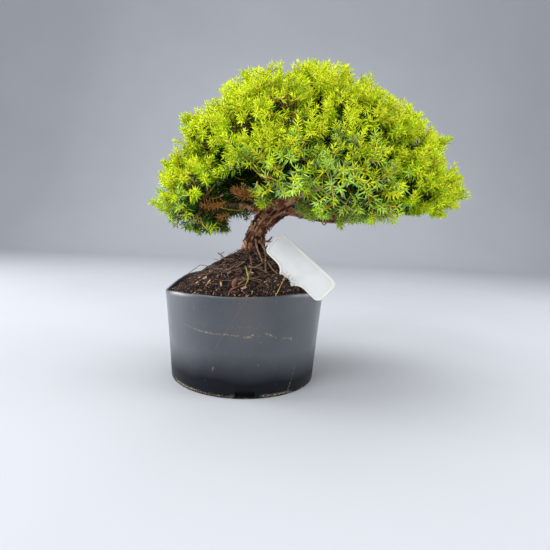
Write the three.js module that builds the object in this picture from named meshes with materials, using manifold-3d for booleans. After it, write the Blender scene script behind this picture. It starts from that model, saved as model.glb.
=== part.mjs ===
// Juniper bonsai in a cut-down nursery pot, with a blank plant label.
// Millimetres, +Z up, front at -Y, origin at the centre of the pot's underside.

import * as THREE from "three";
import { mergeVertices } from "three/addons/utils/BufferGeometryUtils.js";
import Module from "manifold-3d";

const wasm = await Module();
wasm.setup();

// Clearance kept between pieces that touch
const GAP = 0.3;

// Pot: a round base, and a cut rim that has been squeezed a little out of round
const POT_BASE_RADIUS = 54.5;
const POT_RIM_HALF_WIDTH = 58.5;
const POT_RIM_HALF_DEPTH = 58;
const POT_RIM_SQUARENESS = 2.5;
const POT_RIM_HEIGHT = 69.3;
const POT_WALL = 1.4;
const POT_FLOOR = 2;
const POT_HEEL = 0.8;
const POT_SIDES = 40;
const SLOT_COUNT = 4;
const SLOT_WIDTH = 13;
const SLOT_HEIGHT = 4;
const SLOT_DEPTH = 5;
const SLOT_TURN = THREE.MathUtils.degToRad(-84);

// Waves of the hand-cut rim: how many go round the pot, how high they are, and their phase in degrees
const POT_RIM_WAVES = [
  { count: 1, height: 1.2, phase: 93 },
  { count: 2, height: 2.6, phase: -145 },
  { count: 4, height: 1.3, phase: -177 },
];

// Soil: a mound that rises from below the rim to the foot of the trunk
const SOIL_EDGE_HEIGHT = 62;
const MOUND_TOP = 95;
const MOUND_TOP_RADIUS = 10;
const MOUND_CURVE = 1.15;
const MOUND_RINGS = 5;

// Soil banked up against the left wall
const BANK_HEIGHT = 4;
const BANK_SIDE = THREE.MathUtils.degToRad(165);

// Soil pressed up round the label's stem
const HEAP_CENTRE = new THREE.Vector2(27.5, -40);
const HEAP_RADIUS = 15;
const HEAP_HEIGHT = 9;

// Trunk: rises straight out of the mound and leans over to the right
const TRUNK_FOOT = new THREE.Vector3(5.4, 0, MOUND_TOP + GAP);
const TRUNK_FORK = new THREE.Vector3(27, 0, 131);
const TRUNK_RISE = 18;
const TRUNK_LEAN = new THREE.Vector3(11, 0, 5);
const TRUNK_FOOT_RADIUS = 7.2;
const TRUNK_FORK_RADIUS = 7.2;
const ROOT_FLARE = 1.8;
const ROOT_FLARE_SHARE = 0.14;
const ROOT_COUNT = 5;
const ROOT_RIDGE = 0.5;
const TRUNK_SIDES = 20;
const TRUNK_STEPS = 10;

// Boughs: round limbs that taper from a collar
const BOUGH_SIDES = 6;
const BOUGH_STEPS = 6;
const BOUGH_TAPER = 0.45;
const COLLAR_SWELL = 0.35;
const COLLAR_SHARE = 0.1;
const LIMB_SAMPLES = 24;
const LIMB_CLEARANCE = 1.5;

// Crown: a dome, higher at the right, that the tips of the foliage reach
const CROWN_CENTRE = new THREE.Vector3(41.6, 0, 129);
const CROWN_HALF_WIDTH = 114.5;
const CROWN_HALF_DEPTH = 92;
const CROWN_RISE = 103;
const CROWN_DROP = 38;
const CROWN_TILT = THREE.MathUtils.degToRad(2.2);
const CROWN_SQUARENESS = 1.8;
const CROWN_SHELL = 0.7;

// Foliage: each mass has a core that its twigs and needle sprays stand out of
const MASS_RADIUS = 44;
const CORE_SHARE = 0.6;
const STEM_CLEARANCE = 1.5;
const TWIGS_PER_MASS = 7;
const TWIG_SWING = 0.6;
const TIP_SHARE = 0.98;
const BRANCH_SHARE = 0.3;
const INWARD_LIMIT = -0.3;
const SIDE_SPRAY_ANGLE = THREE.MathUtils.degToRad(38);
const SPRAY_SIDES = 3;
const SPRAY_WHORLS = 2;
const SPRAY_RADIUS = 2.3;
const SPRAY_TWIST = 0.5;
const SPRAY_TAPER = 0.5;
const NEEDLE_LENGTH = 11;
const NEEDLE_LEAN = 0.8;
const GOLDEN_ANGLE = Math.PI * (3 - Math.sqrt(5));
const SEED = 20;

// Label: a T-shaped plastic plate that leans back, pushed into the mound. Its right end stands out
// over the rim.
const LABEL_CENTRE = new THREE.Vector3(38.4, -37, 88.4);
const LABEL_LENGTH = 55.5;
const LABEL_WIDTH = 18.2;
const LABEL_CORNER = 4.5;
const LABEL_STEM_WIDTH = 10;
const LABEL_STEM_LENGTH = 34;
const LABEL_POINT = 9;
const LABEL_FILLET = 9;
const LABEL_THICKNESS = 0.9;
const LABEL_TURN = THREE.MathUtils.degToRad(-37.9);
const LABEL_LEAN = THREE.MathUtils.degToRad(22);
const LABEL_SWING = THREE.MathUtils.degToRad(-18);

// Each bough and the mass it carries. Azimuth 0 is right and 90 is back, seen from above, and both
// angles are in degrees. Reach scales the dome there, floor is the lowest height of the mass, and the
// bough leaves the limb "from" at the share "at" of its length, with its middle lifted by "lift".
const MASSES = [
  {
    name: "left_low", azimuth: -164, elevation: 3, reach: 0.97, floor: 106,
    from: "trunk", at: 0.66, radius: 3.4, lift: 2.5,
  },
  {
    name: "right_low", azimuth: 2, elevation: 8, reach: 1.05, floor: 128,
    from: "trunk", at: 0.97, radius: 4.4, lift: -27,
  },
  {
    name: "top", azimuth: -70, elevation: 79, reach: 1.0, floor: 150,
    from: "trunk", at: 0.94, radius: 4.2, lift: 6,
  },
  {
    name: "front_low", azimuth: -70, elevation: 12, reach: 0.96, floor: 116,
    from: "trunk", at: 0.9, radius: 2.6, lift: 4,
  },
  {
    name: "back_low", azimuth: 104, elevation: 8, reach: 1.0, floor: 126,
    from: "trunk", at: 0.84, radius: 2.7, lift: 3,
  },
  {
    name: "left_back_low", azimuth: 150, elevation: 2, reach: 0.98, floor: 103,
    from: "left_low", at: 0.4, radius: 2.0, lift: 2,
  },
  {
    name: "right_front_low", azimuth: -34, elevation: 7, reach: 1.0, floor: 123,
    from: "right_low", at: 0.3, radius: 2.3, lift: 0,
  },
  {
    name: "right_back_low", azimuth: 50, elevation: 8, reach: 1.0, floor: 122,
    from: "right_low", at: 0.42, radius: 2.2, lift: 0,
  },
  {
    name: "left_high", azimuth: 178, elevation: 40, reach: 1.0, floor: 128,
    from: "top", at: 0.12, radius: 2.6, lift: 4,
  },
  {
    name: "front_left_low", azimuth: -103, elevation: 21, reach: 0.97, floor: 129,
    from: "top", at: 0.08, radius: 2.2, lift: 2,
  },
  {
    name: "front_left_high", azimuth: -120, elevation: 47, reach: 1.0, floor: 146,
    from: "top", at: 0.28, radius: 2.3, lift: 2,
  },
  {
    name: "front_right_high", azimuth: -56, elevation: 45, reach: 0.98, floor: 140,
    from: "top", at: 0.42, radius: 2.2, lift: 0,
  },
  {
    name: "top_left", azimuth: 178, elevation: 68, reach: 1.03, floor: 150,
    from: "top", at: 0.46, radius: 2.4, lift: 2,
  },
  {
    name: "top_right", azimuth: 14, elevation: 60, reach: 0.97, floor: 150,
    from: "top", at: 0.6, radius: 2.4, lift: 0,
  },
  {
    name: "right_high", azimuth: -8, elevation: 31, reach: 1.0, floor: 140,
    from: "top", at: 0.34, radius: 2.4, lift: -2,
  },
  {
    name: "back_right_high", azimuth: 64, elevation: 45, reach: 0.98, floor: 140,
    from: "top", at: 0.5, radius: 2.2, lift: 0,
  },
  {
    name: "back_left_high", azimuth: 122, elevation: 44, reach: 1.0, floor: 136,
    from: "top", at: 0.22, radius: 2.3, lift: 2,
  },
];

const UP = new THREE.Vector3(0, 0, 1);
const TILT_AXIS = new THREE.Vector3(0, 1, 0);

// A repeatable source of numbers between 0 and 1
function seededRandom(seed) {
  let state = seed;
  return () => {
    state = (state + 0x6d2b79f5) | 0;
    let mixed = Math.imul(state ^ (state >>> 15), 1 | state);
    mixed = (mixed + Math.imul(mixed ^ (mixed >>> 7), 61 | mixed)) ^ mixed;
    return ((mixed ^ (mixed >>> 14)) >>> 0) / 4294967296;
  };
}

// A solid from a closed geometry
function toSolid(geometry) {
  const plain = geometry.clone();
  plain.deleteAttribute("normal");
  plain.deleteAttribute("uv");
  const merged = mergeVertices(plain);
  const vertProperties = Float32Array.from(merged.attributes.position.array);
  const triVerts = Uint32Array.from(merged.index.array);
  return new wasm.Manifold(new wasm.Mesh({ numProp: 3, vertProperties, triVerts }));
}

// A geometry from a solid
function toGeometry(solid) {
  const mesh = solid.getMesh();
  const geometry = new THREE.BufferGeometry();
  geometry.setAttribute("position", new THREE.BufferAttribute(mesh.vertProperties, 3));
  geometry.setIndex(new THREE.BufferAttribute(mesh.triVerts, 1));
  geometry.computeVertexNormals();
  return geometry;
}

// The main body of a solid, without loose scraps and sealed hollows
function mainBody(solid) {
  const bodies = solid.decompose();
  return bodies.reduce((best, body) => (body.volume() > best.volume() ? body : best));
}

// Moves every vertex of a geometry by a function of its place
function reshape(geometry, place) {
  const position = geometry.attributes.position;
  const point = new THREE.Vector3();
  for (let i = 0; i < position.count; i += 1) {
    point.fromBufferAttribute(position, i);
    place(point);
    position.setXYZ(i, point.x, point.y, point.z);
  }
  return geometry;
}

// Radius of the rim at an angle round the pot
function rimRadius(angle) {
  const across = Math.abs(Math.cos(angle)) / POT_RIM_HALF_WIDTH;
  const along = Math.abs(Math.sin(angle)) / POT_RIM_HALF_DEPTH;
  return (across ** POT_RIM_SQUARENESS + along ** POT_RIM_SQUARENESS) ** (-1 / POT_RIM_SQUARENESS);
}

// Height of the cut rim at an angle round the pot
function rimHeight(angle) {
  return POT_RIM_WAVES.reduce((total, { count, height, phase }) => (
    total + height * Math.cos(count * angle - THREE.MathUtils.degToRad(phase))
  ), POT_RIM_HEIGHT);
}

// Carries a point of the round, level pot to its place in the squeezed one
function squeezePot(point) {
  const angle = Math.atan2(point.y, point.x);
  const share = THREE.MathUtils.clamp(point.z / POT_RIM_HEIGHT, 0, 1);
  const widen = THREE.MathUtils.lerp(1, rimRadius(angle) / POT_BASE_RADIUS, share);
  point.x *= widen;
  point.y *= widen;
  point.z *= THREE.MathUtils.lerp(1, rimHeight(angle) / POT_RIM_HEIGHT, share);
}

// A solid turned about Z from a profile of radius and height pairs
function turned(profile, sides) {
  const points = profile.map(([radius, height]) => new THREE.Vector2(radius, height));
  return new THREE.LatheGeometry(points, sides).rotateX(Math.PI / 2);
}

// The pot's shell, with drain slots through the foot of its wall
function makePot() {
  const outer = POT_BASE_RADIUS;
  const inner = POT_BASE_RADIUS - POT_WALL;
  const middle = POT_RIM_HEIGHT / 2;
  const shell = turned([
    [0, 0],
    [outer - POT_HEEL, 0],
    [outer, POT_HEEL],
    [outer, middle],
    [outer, POT_RIM_HEIGHT],
    [inner, POT_RIM_HEIGHT],
    [inner, middle],
    [inner, POT_FLOOR],
    [0, POT_FLOOR],
  ], POT_SIDES);
  let pot = toSolid(reshape(shell, squeezePot));
  for (let i = 0; i < SLOT_COUNT; i += 1) {
    const slot = new THREE.BoxGeometry(SLOT_DEPTH, SLOT_WIDTH, SLOT_HEIGHT);
    slot.translate(POT_BASE_RADIUS, 0, POT_HEEL + SLOT_HEIGHT / 2);
    slot.rotateZ(SLOT_TURN + (i * 2 * Math.PI) / SLOT_COUNT);
    pot = pot.subtract(toSolid(slot));
  }
  return toGeometry(pot);
}

// Height of the soil banked against the wall, at an angle and a share of the way in from the edge
function bankHeight(angle, climb) {
  return BANK_HEIGHT * Math.max(Math.cos(angle - BANK_SIDE), 0) * (1 - climb) ** 2;
}

// Height of the soil pressed up round the label's stem, over a place on the mound
function heapHeight(point) {
  const apart = Math.hypot(point.x - HEAP_CENTRE.x, point.y - HEAP_CENTRE.y) / HEAP_RADIUS;
  return HEAP_HEIGHT * Math.max(1 - apart ** 2, 0) ** 2;
}

// The soil that fills the pot, with a level seat for the trunk and a slit for the label's stem
function makeSoil(label) {
  const radius = POT_BASE_RADIUS - POT_WALL - GAP;
  const bottom = POT_FLOOR + GAP;
  const rise = MOUND_TOP - SOIL_EDGE_HEIGHT;
  const profile = [[0, bottom], [radius, bottom], [radius, SOIL_EDGE_HEIGHT / 2]];
  for (let i = 0; i <= MOUND_RINGS; i += 1) {
    const share = 1 - i / MOUND_RINGS;
    const ring = MOUND_TOP_RADIUS + (radius - MOUND_TOP_RADIUS) * share;
    profile.push([ring, MOUND_TOP - rise * share ** MOUND_CURVE]);
  }
  profile.push([0, MOUND_TOP]);
  const soil = reshape(turned(profile, POT_SIDES), (point) => {
    const onTop = point.z >= SOIL_EDGE_HEIGHT;
    const angle = Math.atan2(point.y, point.x);
    const climb = THREE.MathUtils.clamp((point.z - SOIL_EDGE_HEIGHT) / rise, 0, 1);
    const edge = point.clone();
    edge.z = Math.min(point.z, SOIL_EDGE_HEIGHT);
    squeezePot(edge);
    point.x = THREE.MathUtils.lerp(edge.x, point.x + TRUNK_FOOT.x, climb);
    point.y = THREE.MathUtils.lerp(edge.y, point.y + TRUNK_FOOT.y, climb);
    point.z += (edge.z - Math.min(point.z, SOIL_EDGE_HEIGHT)) * (1 - climb);
    if (onTop) {
      point.z += bankHeight(angle, climb) + heapHeight(point);
    }
  });
  return toGeometry(mainBody(toSolid(soil).subtract(toSolid(label))));
}

// A round limb along a curve, grown by a margin all over
function limbGeometry(limb, sides, steps, margin) {
  const geometry = new THREE.CylinderGeometry(1, 1, 1, sides, steps);
  const frames = limb.curve.computeFrenetFrames(steps);
  return reshape(geometry, (point) => {
    const step = Math.round((point.y + 0.5) * steps);
    const share = step / steps;
    const radius = limb.radiusAt(share, Math.atan2(point.z, point.x)) + margin;
    const spread = Math.hypot(point.x, point.z) * radius;
    const angle = Math.atan2(point.z, point.x);
    const past = (share === 1) - (share === 0);
    point.copy(limb.curve.getPointAt(share));
    point.addScaledVector(frames.normals[step], Math.cos(angle) * spread);
    point.addScaledVector(frames.binormals[step], -Math.sin(angle) * spread);
    point.addScaledVector(frames.tangents[step], past * margin);
  });
}

// The trunk, with ridged root flare and a level cut at its foot
function makeTrunk() {
  const rising = TRUNK_FOOT.clone().addScaledVector(UP, TRUNK_RISE);
  const leaning = TRUNK_FORK.clone().sub(TRUNK_LEAN);
  const curve = new THREE.CubicBezierCurve3(TRUNK_FOOT, rising, leaning, TRUNK_FORK);
  const radiusAt = (share, angle) => {
    const flare = ROOT_FLARE * Math.exp(-share / ROOT_FLARE_SHARE);
    const ridge = 1 + ROOT_RIDGE * Math.cos(ROOT_COUNT * angle);
    return THREE.MathUtils.lerp(TRUNK_FOOT_RADIUS, TRUNK_FORK_RADIUS, share) + flare * ridge;
  };
  return { curve, radiusAt, sides: TRUNK_SIDES, steps: TRUNK_STEPS };
}

// A point in the crown's own frame, where the dome is level
function inCrown(point) {
  return point.clone().sub(CROWN_CENTRE).applyAxisAngle(TILT_AXIS, CROWN_TILT);
}

// Centre of a mass, on a shell inside the dome
function massCentre(mass) {
  const azimuth = THREE.MathUtils.degToRad(mass.azimuth);
  const elevation = THREE.MathUtils.degToRad(mass.elevation);
  const centre = new THREE.Vector3(
    CROWN_HALF_WIDTH * Math.cos(elevation) * Math.cos(azimuth),
    CROWN_HALF_DEPTH * Math.cos(elevation) * Math.sin(azimuth),
    CROWN_RISE * Math.sin(elevation),
  );
  centre.multiplyScalar(CROWN_SHELL * mass.reach);
  return centre.applyAxisAngle(TILT_AXIS, -CROWN_TILT).add(CROWN_CENTRE);
}

// Whether a point is inside a mass's own part of the dome
function insideMass(mass, point) {
  const local = inCrown(point);
  const height = local.z > 0 ? CROWN_RISE : CROWN_DROP;
  const fullness =
    Math.abs(local.x / CROWN_HALF_WIDTH) ** CROWN_SQUARENESS +
    Math.abs(local.y / CROWN_HALF_DEPTH) ** CROWN_SQUARENESS +
    Math.abs(local.z / height) ** CROWN_SQUARENESS;
  if (fullness > mass.reach ** CROWN_SQUARENESS || point.z < mass.floor) {
    return false;
  }
  const offset = point.clone().sub(mass.centre);
  if (offset.length() > MASS_RADIUS) {
    return false;
  }
  return MASSES.every((other) => {
    const between = other.centre.clone().sub(mass.centre);
    return other === mass || offset.dot(between) / between.length() < between.length() / 2 - GAP / 2;
  });
}

// How far a mass's space reaches from its centre in a direction
function reachAlong(mass, direction) {
  let near = 0;
  let far = MASS_RADIUS;
  while (far - near > GAP / 10) {
    const middle = (near + far) / 2;
    if (insideMass(mass, mass.centre.clone().addScaledVector(direction, middle))) {
      near = middle;
    } else {
      far = middle;
    }
  }
  return near;
}

// The bough that carries a mass: it ends where it enters the mass
function makeBough(mass, parent) {
  const start = parent.curve.getPointAt(mass.at);
  const middle = start.clone().lerp(mass.centre, 1 / 2).addScaledVector(UP, mass.lift);
  mass.entry = mass.centre.clone().sub(middle).normalize();
  const depth = CORE_SHARE * reachAlong(mass, mass.entry.clone().negate()) + STEM_CLEARANCE;
  const tip = mass.centre.clone().addScaledVector(mass.entry, -depth);
  const third = start.distanceTo(tip) / 3;
  const leaving = start.clone().lerp(tip, 1 / 3).addScaledVector(UP, mass.lift / 2);
  const entering = tip.clone().addScaledVector(mass.entry, -third);
  const curve = new THREE.CubicBezierCurve3(start, leaving, entering, tip);
  const radiusAt = (share) => {
    const collar = COLLAR_SWELL * Math.exp(-share / COLLAR_SHARE);
    return mass.radius * (1 - BOUGH_TAPER * share + collar);
  };
  return { curve, radiusAt, sides: BOUGH_SIDES, steps: BOUGH_STEPS };
}

// Whether a point lies clear of every limb
function clearOfLimbs(point, limbs) {
  return limbs.every((limb) => limb.samples.every(({ place, radius }) => place.distanceTo(point) > radius));
}

// A spray: a slim three-sided core with whorls of needles, each needle a pyramid on one of its faces.
// The core starts as a bare twig at the root and ends in a needle at the tip.
function sprayGeometry(root, tip, grows) {
  const axis = tip.clone().sub(root).normalize();
  const side = new THREE.Vector3(axis.z, axis.x, axis.y).cross(axis).normalize();
  const across = axis.clone().cross(side);
  const length = root.distanceTo(tip);
  const rings = SPRAY_WHORLS + 2;
  const points = [];
  const faces = [2, 1, 0];
  for (let ring = 0; ring < rings; ring += 1) {
    const share = ring === 0 ? 0 : CORE_SHARE + (1 - CORE_SHARE) * ((ring - 1) / (rings - 1));
    const radius = SPRAY_RADIUS * (1 - SPRAY_TAPER * share);
    for (let i = 0; i < SPRAY_SIDES; i += 1) {
      const angle = (i * 2 * Math.PI) / SPRAY_SIDES + ring * SPRAY_TWIST;
      const place = root.clone().addScaledVector(axis, length * share);
      place.addScaledVector(side, radius * Math.cos(angle));
      points.push(place.addScaledVector(across, radius * Math.sin(angle)));
    }
  }
  for (let ring = 0; ring < rings - 1; ring += 1) {
    for (let i = 0; i < SPRAY_SIDES; i += 1) {
      const low = ring * SPRAY_SIDES + i;
      const lowNext = ring * SPRAY_SIDES + ((i + 1) % SPRAY_SIDES);
      const high = low + SPRAY_SIDES;
      const highNext = lowNext + SPRAY_SIDES;
      const middle = points[low].clone().add(points[highNext]).divideScalar(2);
      const needle = middle.clone().sub(root);
      needle.addScaledVector(axis, -needle.dot(axis)).normalize();
      needle.addScaledVector(axis, NEEDLE_LEAN).setLength(NEEDLE_LENGTH).add(middle);
      if (ring > 0 && grows(needle)) {
        const apex = points.push(needle) - 1;
        faces.push(low, lowNext, apex, lowNext, highNext, apex);
        faces.push(highNext, high, apex, high, low, apex);
      } else {
        faces.push(low, lowNext, highNext, low, highNext, high);
      }
    }
  }
  const last = (rings - 1) * SPRAY_SIDES;
  const end = points.push(tip) - 1;
  for (let i = 0; i < SPRAY_SIDES; i += 1) {
    faces.push(last + i, last + ((i + 1) % SPRAY_SIDES), end);
  }
  const geometry = new THREE.BufferGeometry().setFromPoints(points);
  geometry.setIndex(faces);
  return geometry;
}

// A mass: stem and core, twigs that branch from the stem's end, and sprays on the twigs
function makeMass(mass, limbs, seed) {
  const random = seededRandom(seed);
  const outward = mass.centre.clone().sub(CROWN_CENTRE).normalize();
  const bough = mass.bough;
  const tip = bough.curve.getPointAt(1).addScaledVector(mass.entry, GAP);
  const stem = { curve: new THREE.LineCurve3(tip, mass.centre), radiusAt: () => bough.radiusAt(1) };
  const core = reshape(new THREE.IcosahedronGeometry(1, 1), (point) => {
    point.multiplyScalar(CORE_SHARE * reachAlong(mass, point)).add(mass.centre);
  });
  let solid = toSolid(core).add(toSolid(limbGeometry(stem, BOUGH_SIDES, 1, 0)));
  const grows = (point) => insideMass(mass, point) && clearOfLimbs(point, limbs);
  const addSpray = (root, direction) => {
    const end = mass.centre.clone().addScaledVector(direction, reachAlong(mass, direction));
    const most = mass.centre.clone().lerp(end, TIP_SHARE);
    if (grows(most)) {
      solid = solid.add(toSolid(sprayGeometry(root, end, grows)));
    }
    return root.clone().lerp(end, BRANCH_SHARE);
  };
  const turn = new THREE.Quaternion().setFromUnitVectors(UP, outward);
  for (let i = 0; i < TWIGS_PER_MASS; i += 1) {
    const height = 1 - ((1 - INWARD_LIMIT) * i) / (TWIGS_PER_MASS - 1);
    const spread = Math.sqrt(1 - height * height);
    const angle = i * GOLDEN_ANGLE + random() * TWIG_SWING;
    const direction = new THREE.Vector3(spread * Math.cos(angle), spread * Math.sin(angle), height);
    direction.applyQuaternion(turn);
    const branching = addSpray(mass.centre, direction);
    const swing = direction.clone().cross(UP).normalize();
    swing.applyAxisAngle(direction, random() * 2 * Math.PI);
    addSpray(branching, direction.clone().applyAxisAngle(swing, SIDE_SPRAY_ANGLE));
  }
  for (const limb of limbs) {
    solid = solid.subtract(limb.grown);
  }
  return toGeometry(mainBody(solid));
}

// The label's plate, or with a margin the slit that its stem needs
function labelGeometry(margin) {
  const half = LABEL_LENGTH / 2;
  const top = LABEL_WIDTH / 2;
  const stem = LABEL_STEM_WIDTH / 2 + margin;
  const foot = -top - LABEL_STEM_LENGTH - margin;
  const shape = new THREE.Shape();
  shape.moveTo(-half + LABEL_CORNER, top);
  shape.lineTo(half - LABEL_CORNER, top);
  shape.absarc(half - LABEL_CORNER, top - LABEL_CORNER, LABEL_CORNER, Math.PI / 2, 0, true);
  shape.lineTo(half, -top + LABEL_CORNER);
  shape.absarc(half - LABEL_CORNER, -top + LABEL_CORNER, LABEL_CORNER, 0, -Math.PI / 2, true);
  shape.lineTo(stem + LABEL_FILLET, -top);
  shape.absarc(stem + LABEL_FILLET, -top - LABEL_FILLET, LABEL_FILLET, Math.PI / 2, Math.PI, false);
  shape.lineTo(stem, foot + LABEL_POINT);
  shape.lineTo(0, foot);
  shape.lineTo(-stem, foot + LABEL_POINT);
  shape.lineTo(-stem, -top - LABEL_FILLET);
  shape.absarc(-stem - LABEL_FILLET, -top - LABEL_FILLET, LABEL_FILLET, 0, Math.PI / 2, false);
  shape.lineTo(-half + LABEL_CORNER, -top);
  shape.absarc(-half + LABEL_CORNER, -top + LABEL_CORNER, LABEL_CORNER, -Math.PI / 2, -Math.PI, true);
  shape.lineTo(-half, top - LABEL_CORNER);
  shape.absarc(-half + LABEL_CORNER, top - LABEL_CORNER, LABEL_CORNER, Math.PI, Math.PI / 2, true);
  const depth = LABEL_THICKNESS + 2 * margin;
  const plate = new THREE.ExtrudeGeometry(shape, { depth, bevelEnabled: false, curveSegments: 4 });
  plate.translate(0, 0, -depth / 2);
  plate.rotateZ(LABEL_TURN);
  plate.rotateX(Math.PI / 2 - LABEL_LEAN);
  plate.rotateZ(LABEL_SWING);
  return plate.translate(LABEL_CENTRE.x, LABEL_CENTRE.y, LABEL_CENTRE.z);
}

const bonsai = new THREE.Group();

function addPiece(name, geometry, color, roughness) {
  const material = new THREE.MeshStandardMaterial({ color, roughness, metalness: 0 });
  const mesh = new THREE.Mesh(geometry, material);
  mesh.name = name;
  bonsai.add(mesh);
}

addPiece("pot", makePot(), 0x3c4046, 0.45);
addPiece("soil", makeSoil(labelGeometry(GAP)), 0x37281f, 0.95);
addPiece("label", labelGeometry(0), 0xe2e3e6, 0.4);

// Limbs in growing order, each cut clear of those that came before
const limbs = new Map();
const trunkAndBoughs = [];

function addLimb(name, limb, color) {
  const { curve, radiusAt, sides, steps } = limb;
  let solid = toSolid(limbGeometry(limb, sides, steps, 0));
  for (const earlier of trunkAndBoughs) {
    solid = solid.subtract(earlier.grown);
  }
  limb.grown = toSolid(limbGeometry(limb, sides, steps, GAP));
  limb.samples = Array.from({ length: LIMB_SAMPLES + 1 }, (_, i) => ({
    place: curve.getPointAt(i / LIMB_SAMPLES),
    radius: radiusAt(i / LIMB_SAMPLES, 0) + LIMB_CLEARANCE,
  }));
  limbs.set(name, limb);
  trunkAndBoughs.push(limb);
  addPiece(name === "trunk" ? "trunk" : `bough_${name}`, toGeometry(mainBody(solid)), color, 0.9);
}

for (const mass of MASSES) {
  mass.centre = massCentre(mass);
}
addLimb("trunk", makeTrunk(), 0x6e4b37);
for (const mass of MASSES) {
  mass.bough = makeBough(mass, limbs.get(mass.from));
  addLimb(mass.name, mass.bough, 0x7a5238);
}
MASSES.forEach((mass, i) => {
  addPiece(`foliage_${mass.name}`, makeMass(mass, trunkAndBoughs, SEED + i), 0x86a832, 0.8);
});

export default bonsai;
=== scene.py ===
"""Juniper bonsai in a cut-down nursery pot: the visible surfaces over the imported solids.

Lengths are in metres, +Z is up, the front faces -Y, and the origin is the centre of the pot's underside.
"""

import math

import bpy
import numpy as np
from bpy.props import FloatProperty, FloatVectorProperty, IntProperty, PointerProperty
from mathutils import Matrix, Vector


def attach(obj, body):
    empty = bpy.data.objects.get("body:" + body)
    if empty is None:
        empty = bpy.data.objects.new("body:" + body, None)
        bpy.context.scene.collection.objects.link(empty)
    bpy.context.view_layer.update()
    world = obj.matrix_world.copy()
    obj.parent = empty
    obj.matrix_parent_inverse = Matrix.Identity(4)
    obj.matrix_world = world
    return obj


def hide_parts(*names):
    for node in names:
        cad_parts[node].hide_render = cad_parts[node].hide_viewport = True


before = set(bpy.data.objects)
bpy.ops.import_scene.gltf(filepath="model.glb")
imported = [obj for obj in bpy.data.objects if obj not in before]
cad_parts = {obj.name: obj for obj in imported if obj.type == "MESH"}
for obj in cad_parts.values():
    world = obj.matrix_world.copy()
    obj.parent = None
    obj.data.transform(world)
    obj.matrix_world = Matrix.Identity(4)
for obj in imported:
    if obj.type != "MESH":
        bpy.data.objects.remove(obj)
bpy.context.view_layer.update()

bl_info = {
    "name": "Juniper bonsai",
    "version": (1, 0, 0),
    "blender": (4, 5, 0),
    "location": "View3D > Sidebar > Bonsai",
    "description": "Builds a juniper bonsai in a cut-down nursery pot",
    "category": "Object",
}

FULL_TURN = 2 * math.pi
GOLDEN_ANGLE = math.pi * (3 - math.sqrt(5))
UP = np.array((0.0, 0.0, 1.0))

# Factors that scatter the values of the noise over its lattice
HASH_FACTORS = (73856093, 19349663, 83492791)
HASH_SEED = 40503
HASH_MIX = 1274126177

# Pot and soil, with the sizes of their solids
POT_BASE_RADIUS = 0.0545
POT_RIM_HALF_WIDTH = 0.0585
POT_RIM_HALF_DEPTH = 0.058
POT_RIM_SQUARENESS = 2.5
POT_RIM_HEIGHT = 0.0693
POT_RIM_WAVES = ((1, 0.0012, 93), (2, 0.0026, -145), (4, 0.0013, -177))
POT_FLOOR = 0.002
POT_HEEL = 0.0008
SLOT_TOP = 0.0048
SLOT_COUNT = 4
SLOT_TURN = math.radians(-84)
SLOT_HALF_COLUMNS = 4
POT_COLUMNS = 208
WALL_FOOT = 0.01
HUB_RADIUS = 0.02
SOIL_RADIUS = 0.0528
SOIL_EDGE_HEIGHT = 0.062
MOUND_TOP = 0.095
MOUND_TOP_RADIUS = 0.010
MOUND_CURVE = 1.15
BANK_HEIGHT = 0.004
BANK_SIDE = math.radians(165)
HEAP_CENTRE = np.array((0.0275, -0.040))
HEAP_RADIUS = 0.015
HEAP_HEIGHT = 0.009
SOIL_COLUMNS = 260
SOIL_ROWS = 90
SOIL_SETTLE = 0.006
SOIL_SIDE_HEIGHTS = (0.03, 0.058)
SOIL_TIP_RADIUS = 0.0008

# Lumps in the mound: size, seed and share
LUMPS = ((0.0085, 3, 0.5), (0.0032, 5, 0.35), (0.0013, 7, 0.25))

# Ripple of the thin wall and notches in its rim: radius of the circle that they are read on, and sizes
RIPPLE_CIRCLE = 0.06
RIPPLE_SIZE = 0.022
NOTCH_SIZE = 0.011
NICK_SIZE = 0.003

# Finish of the pot: heights between which the dark foot, a painted reflection, gives way to faded plastic,
# where dust starts, and the painted shade inside its slots
PAINTED_DARK_FOOT = (0.012, 0.032)
DUST_TOP = 0.0035
SLOT_SHADE_RADII = (0.0543, 0.0538)
SLOT_SHADE_HEIGHTS = (0.006, 0.005)
SLOT_SHADE = (0.002, 0.002, 0.002)

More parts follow.
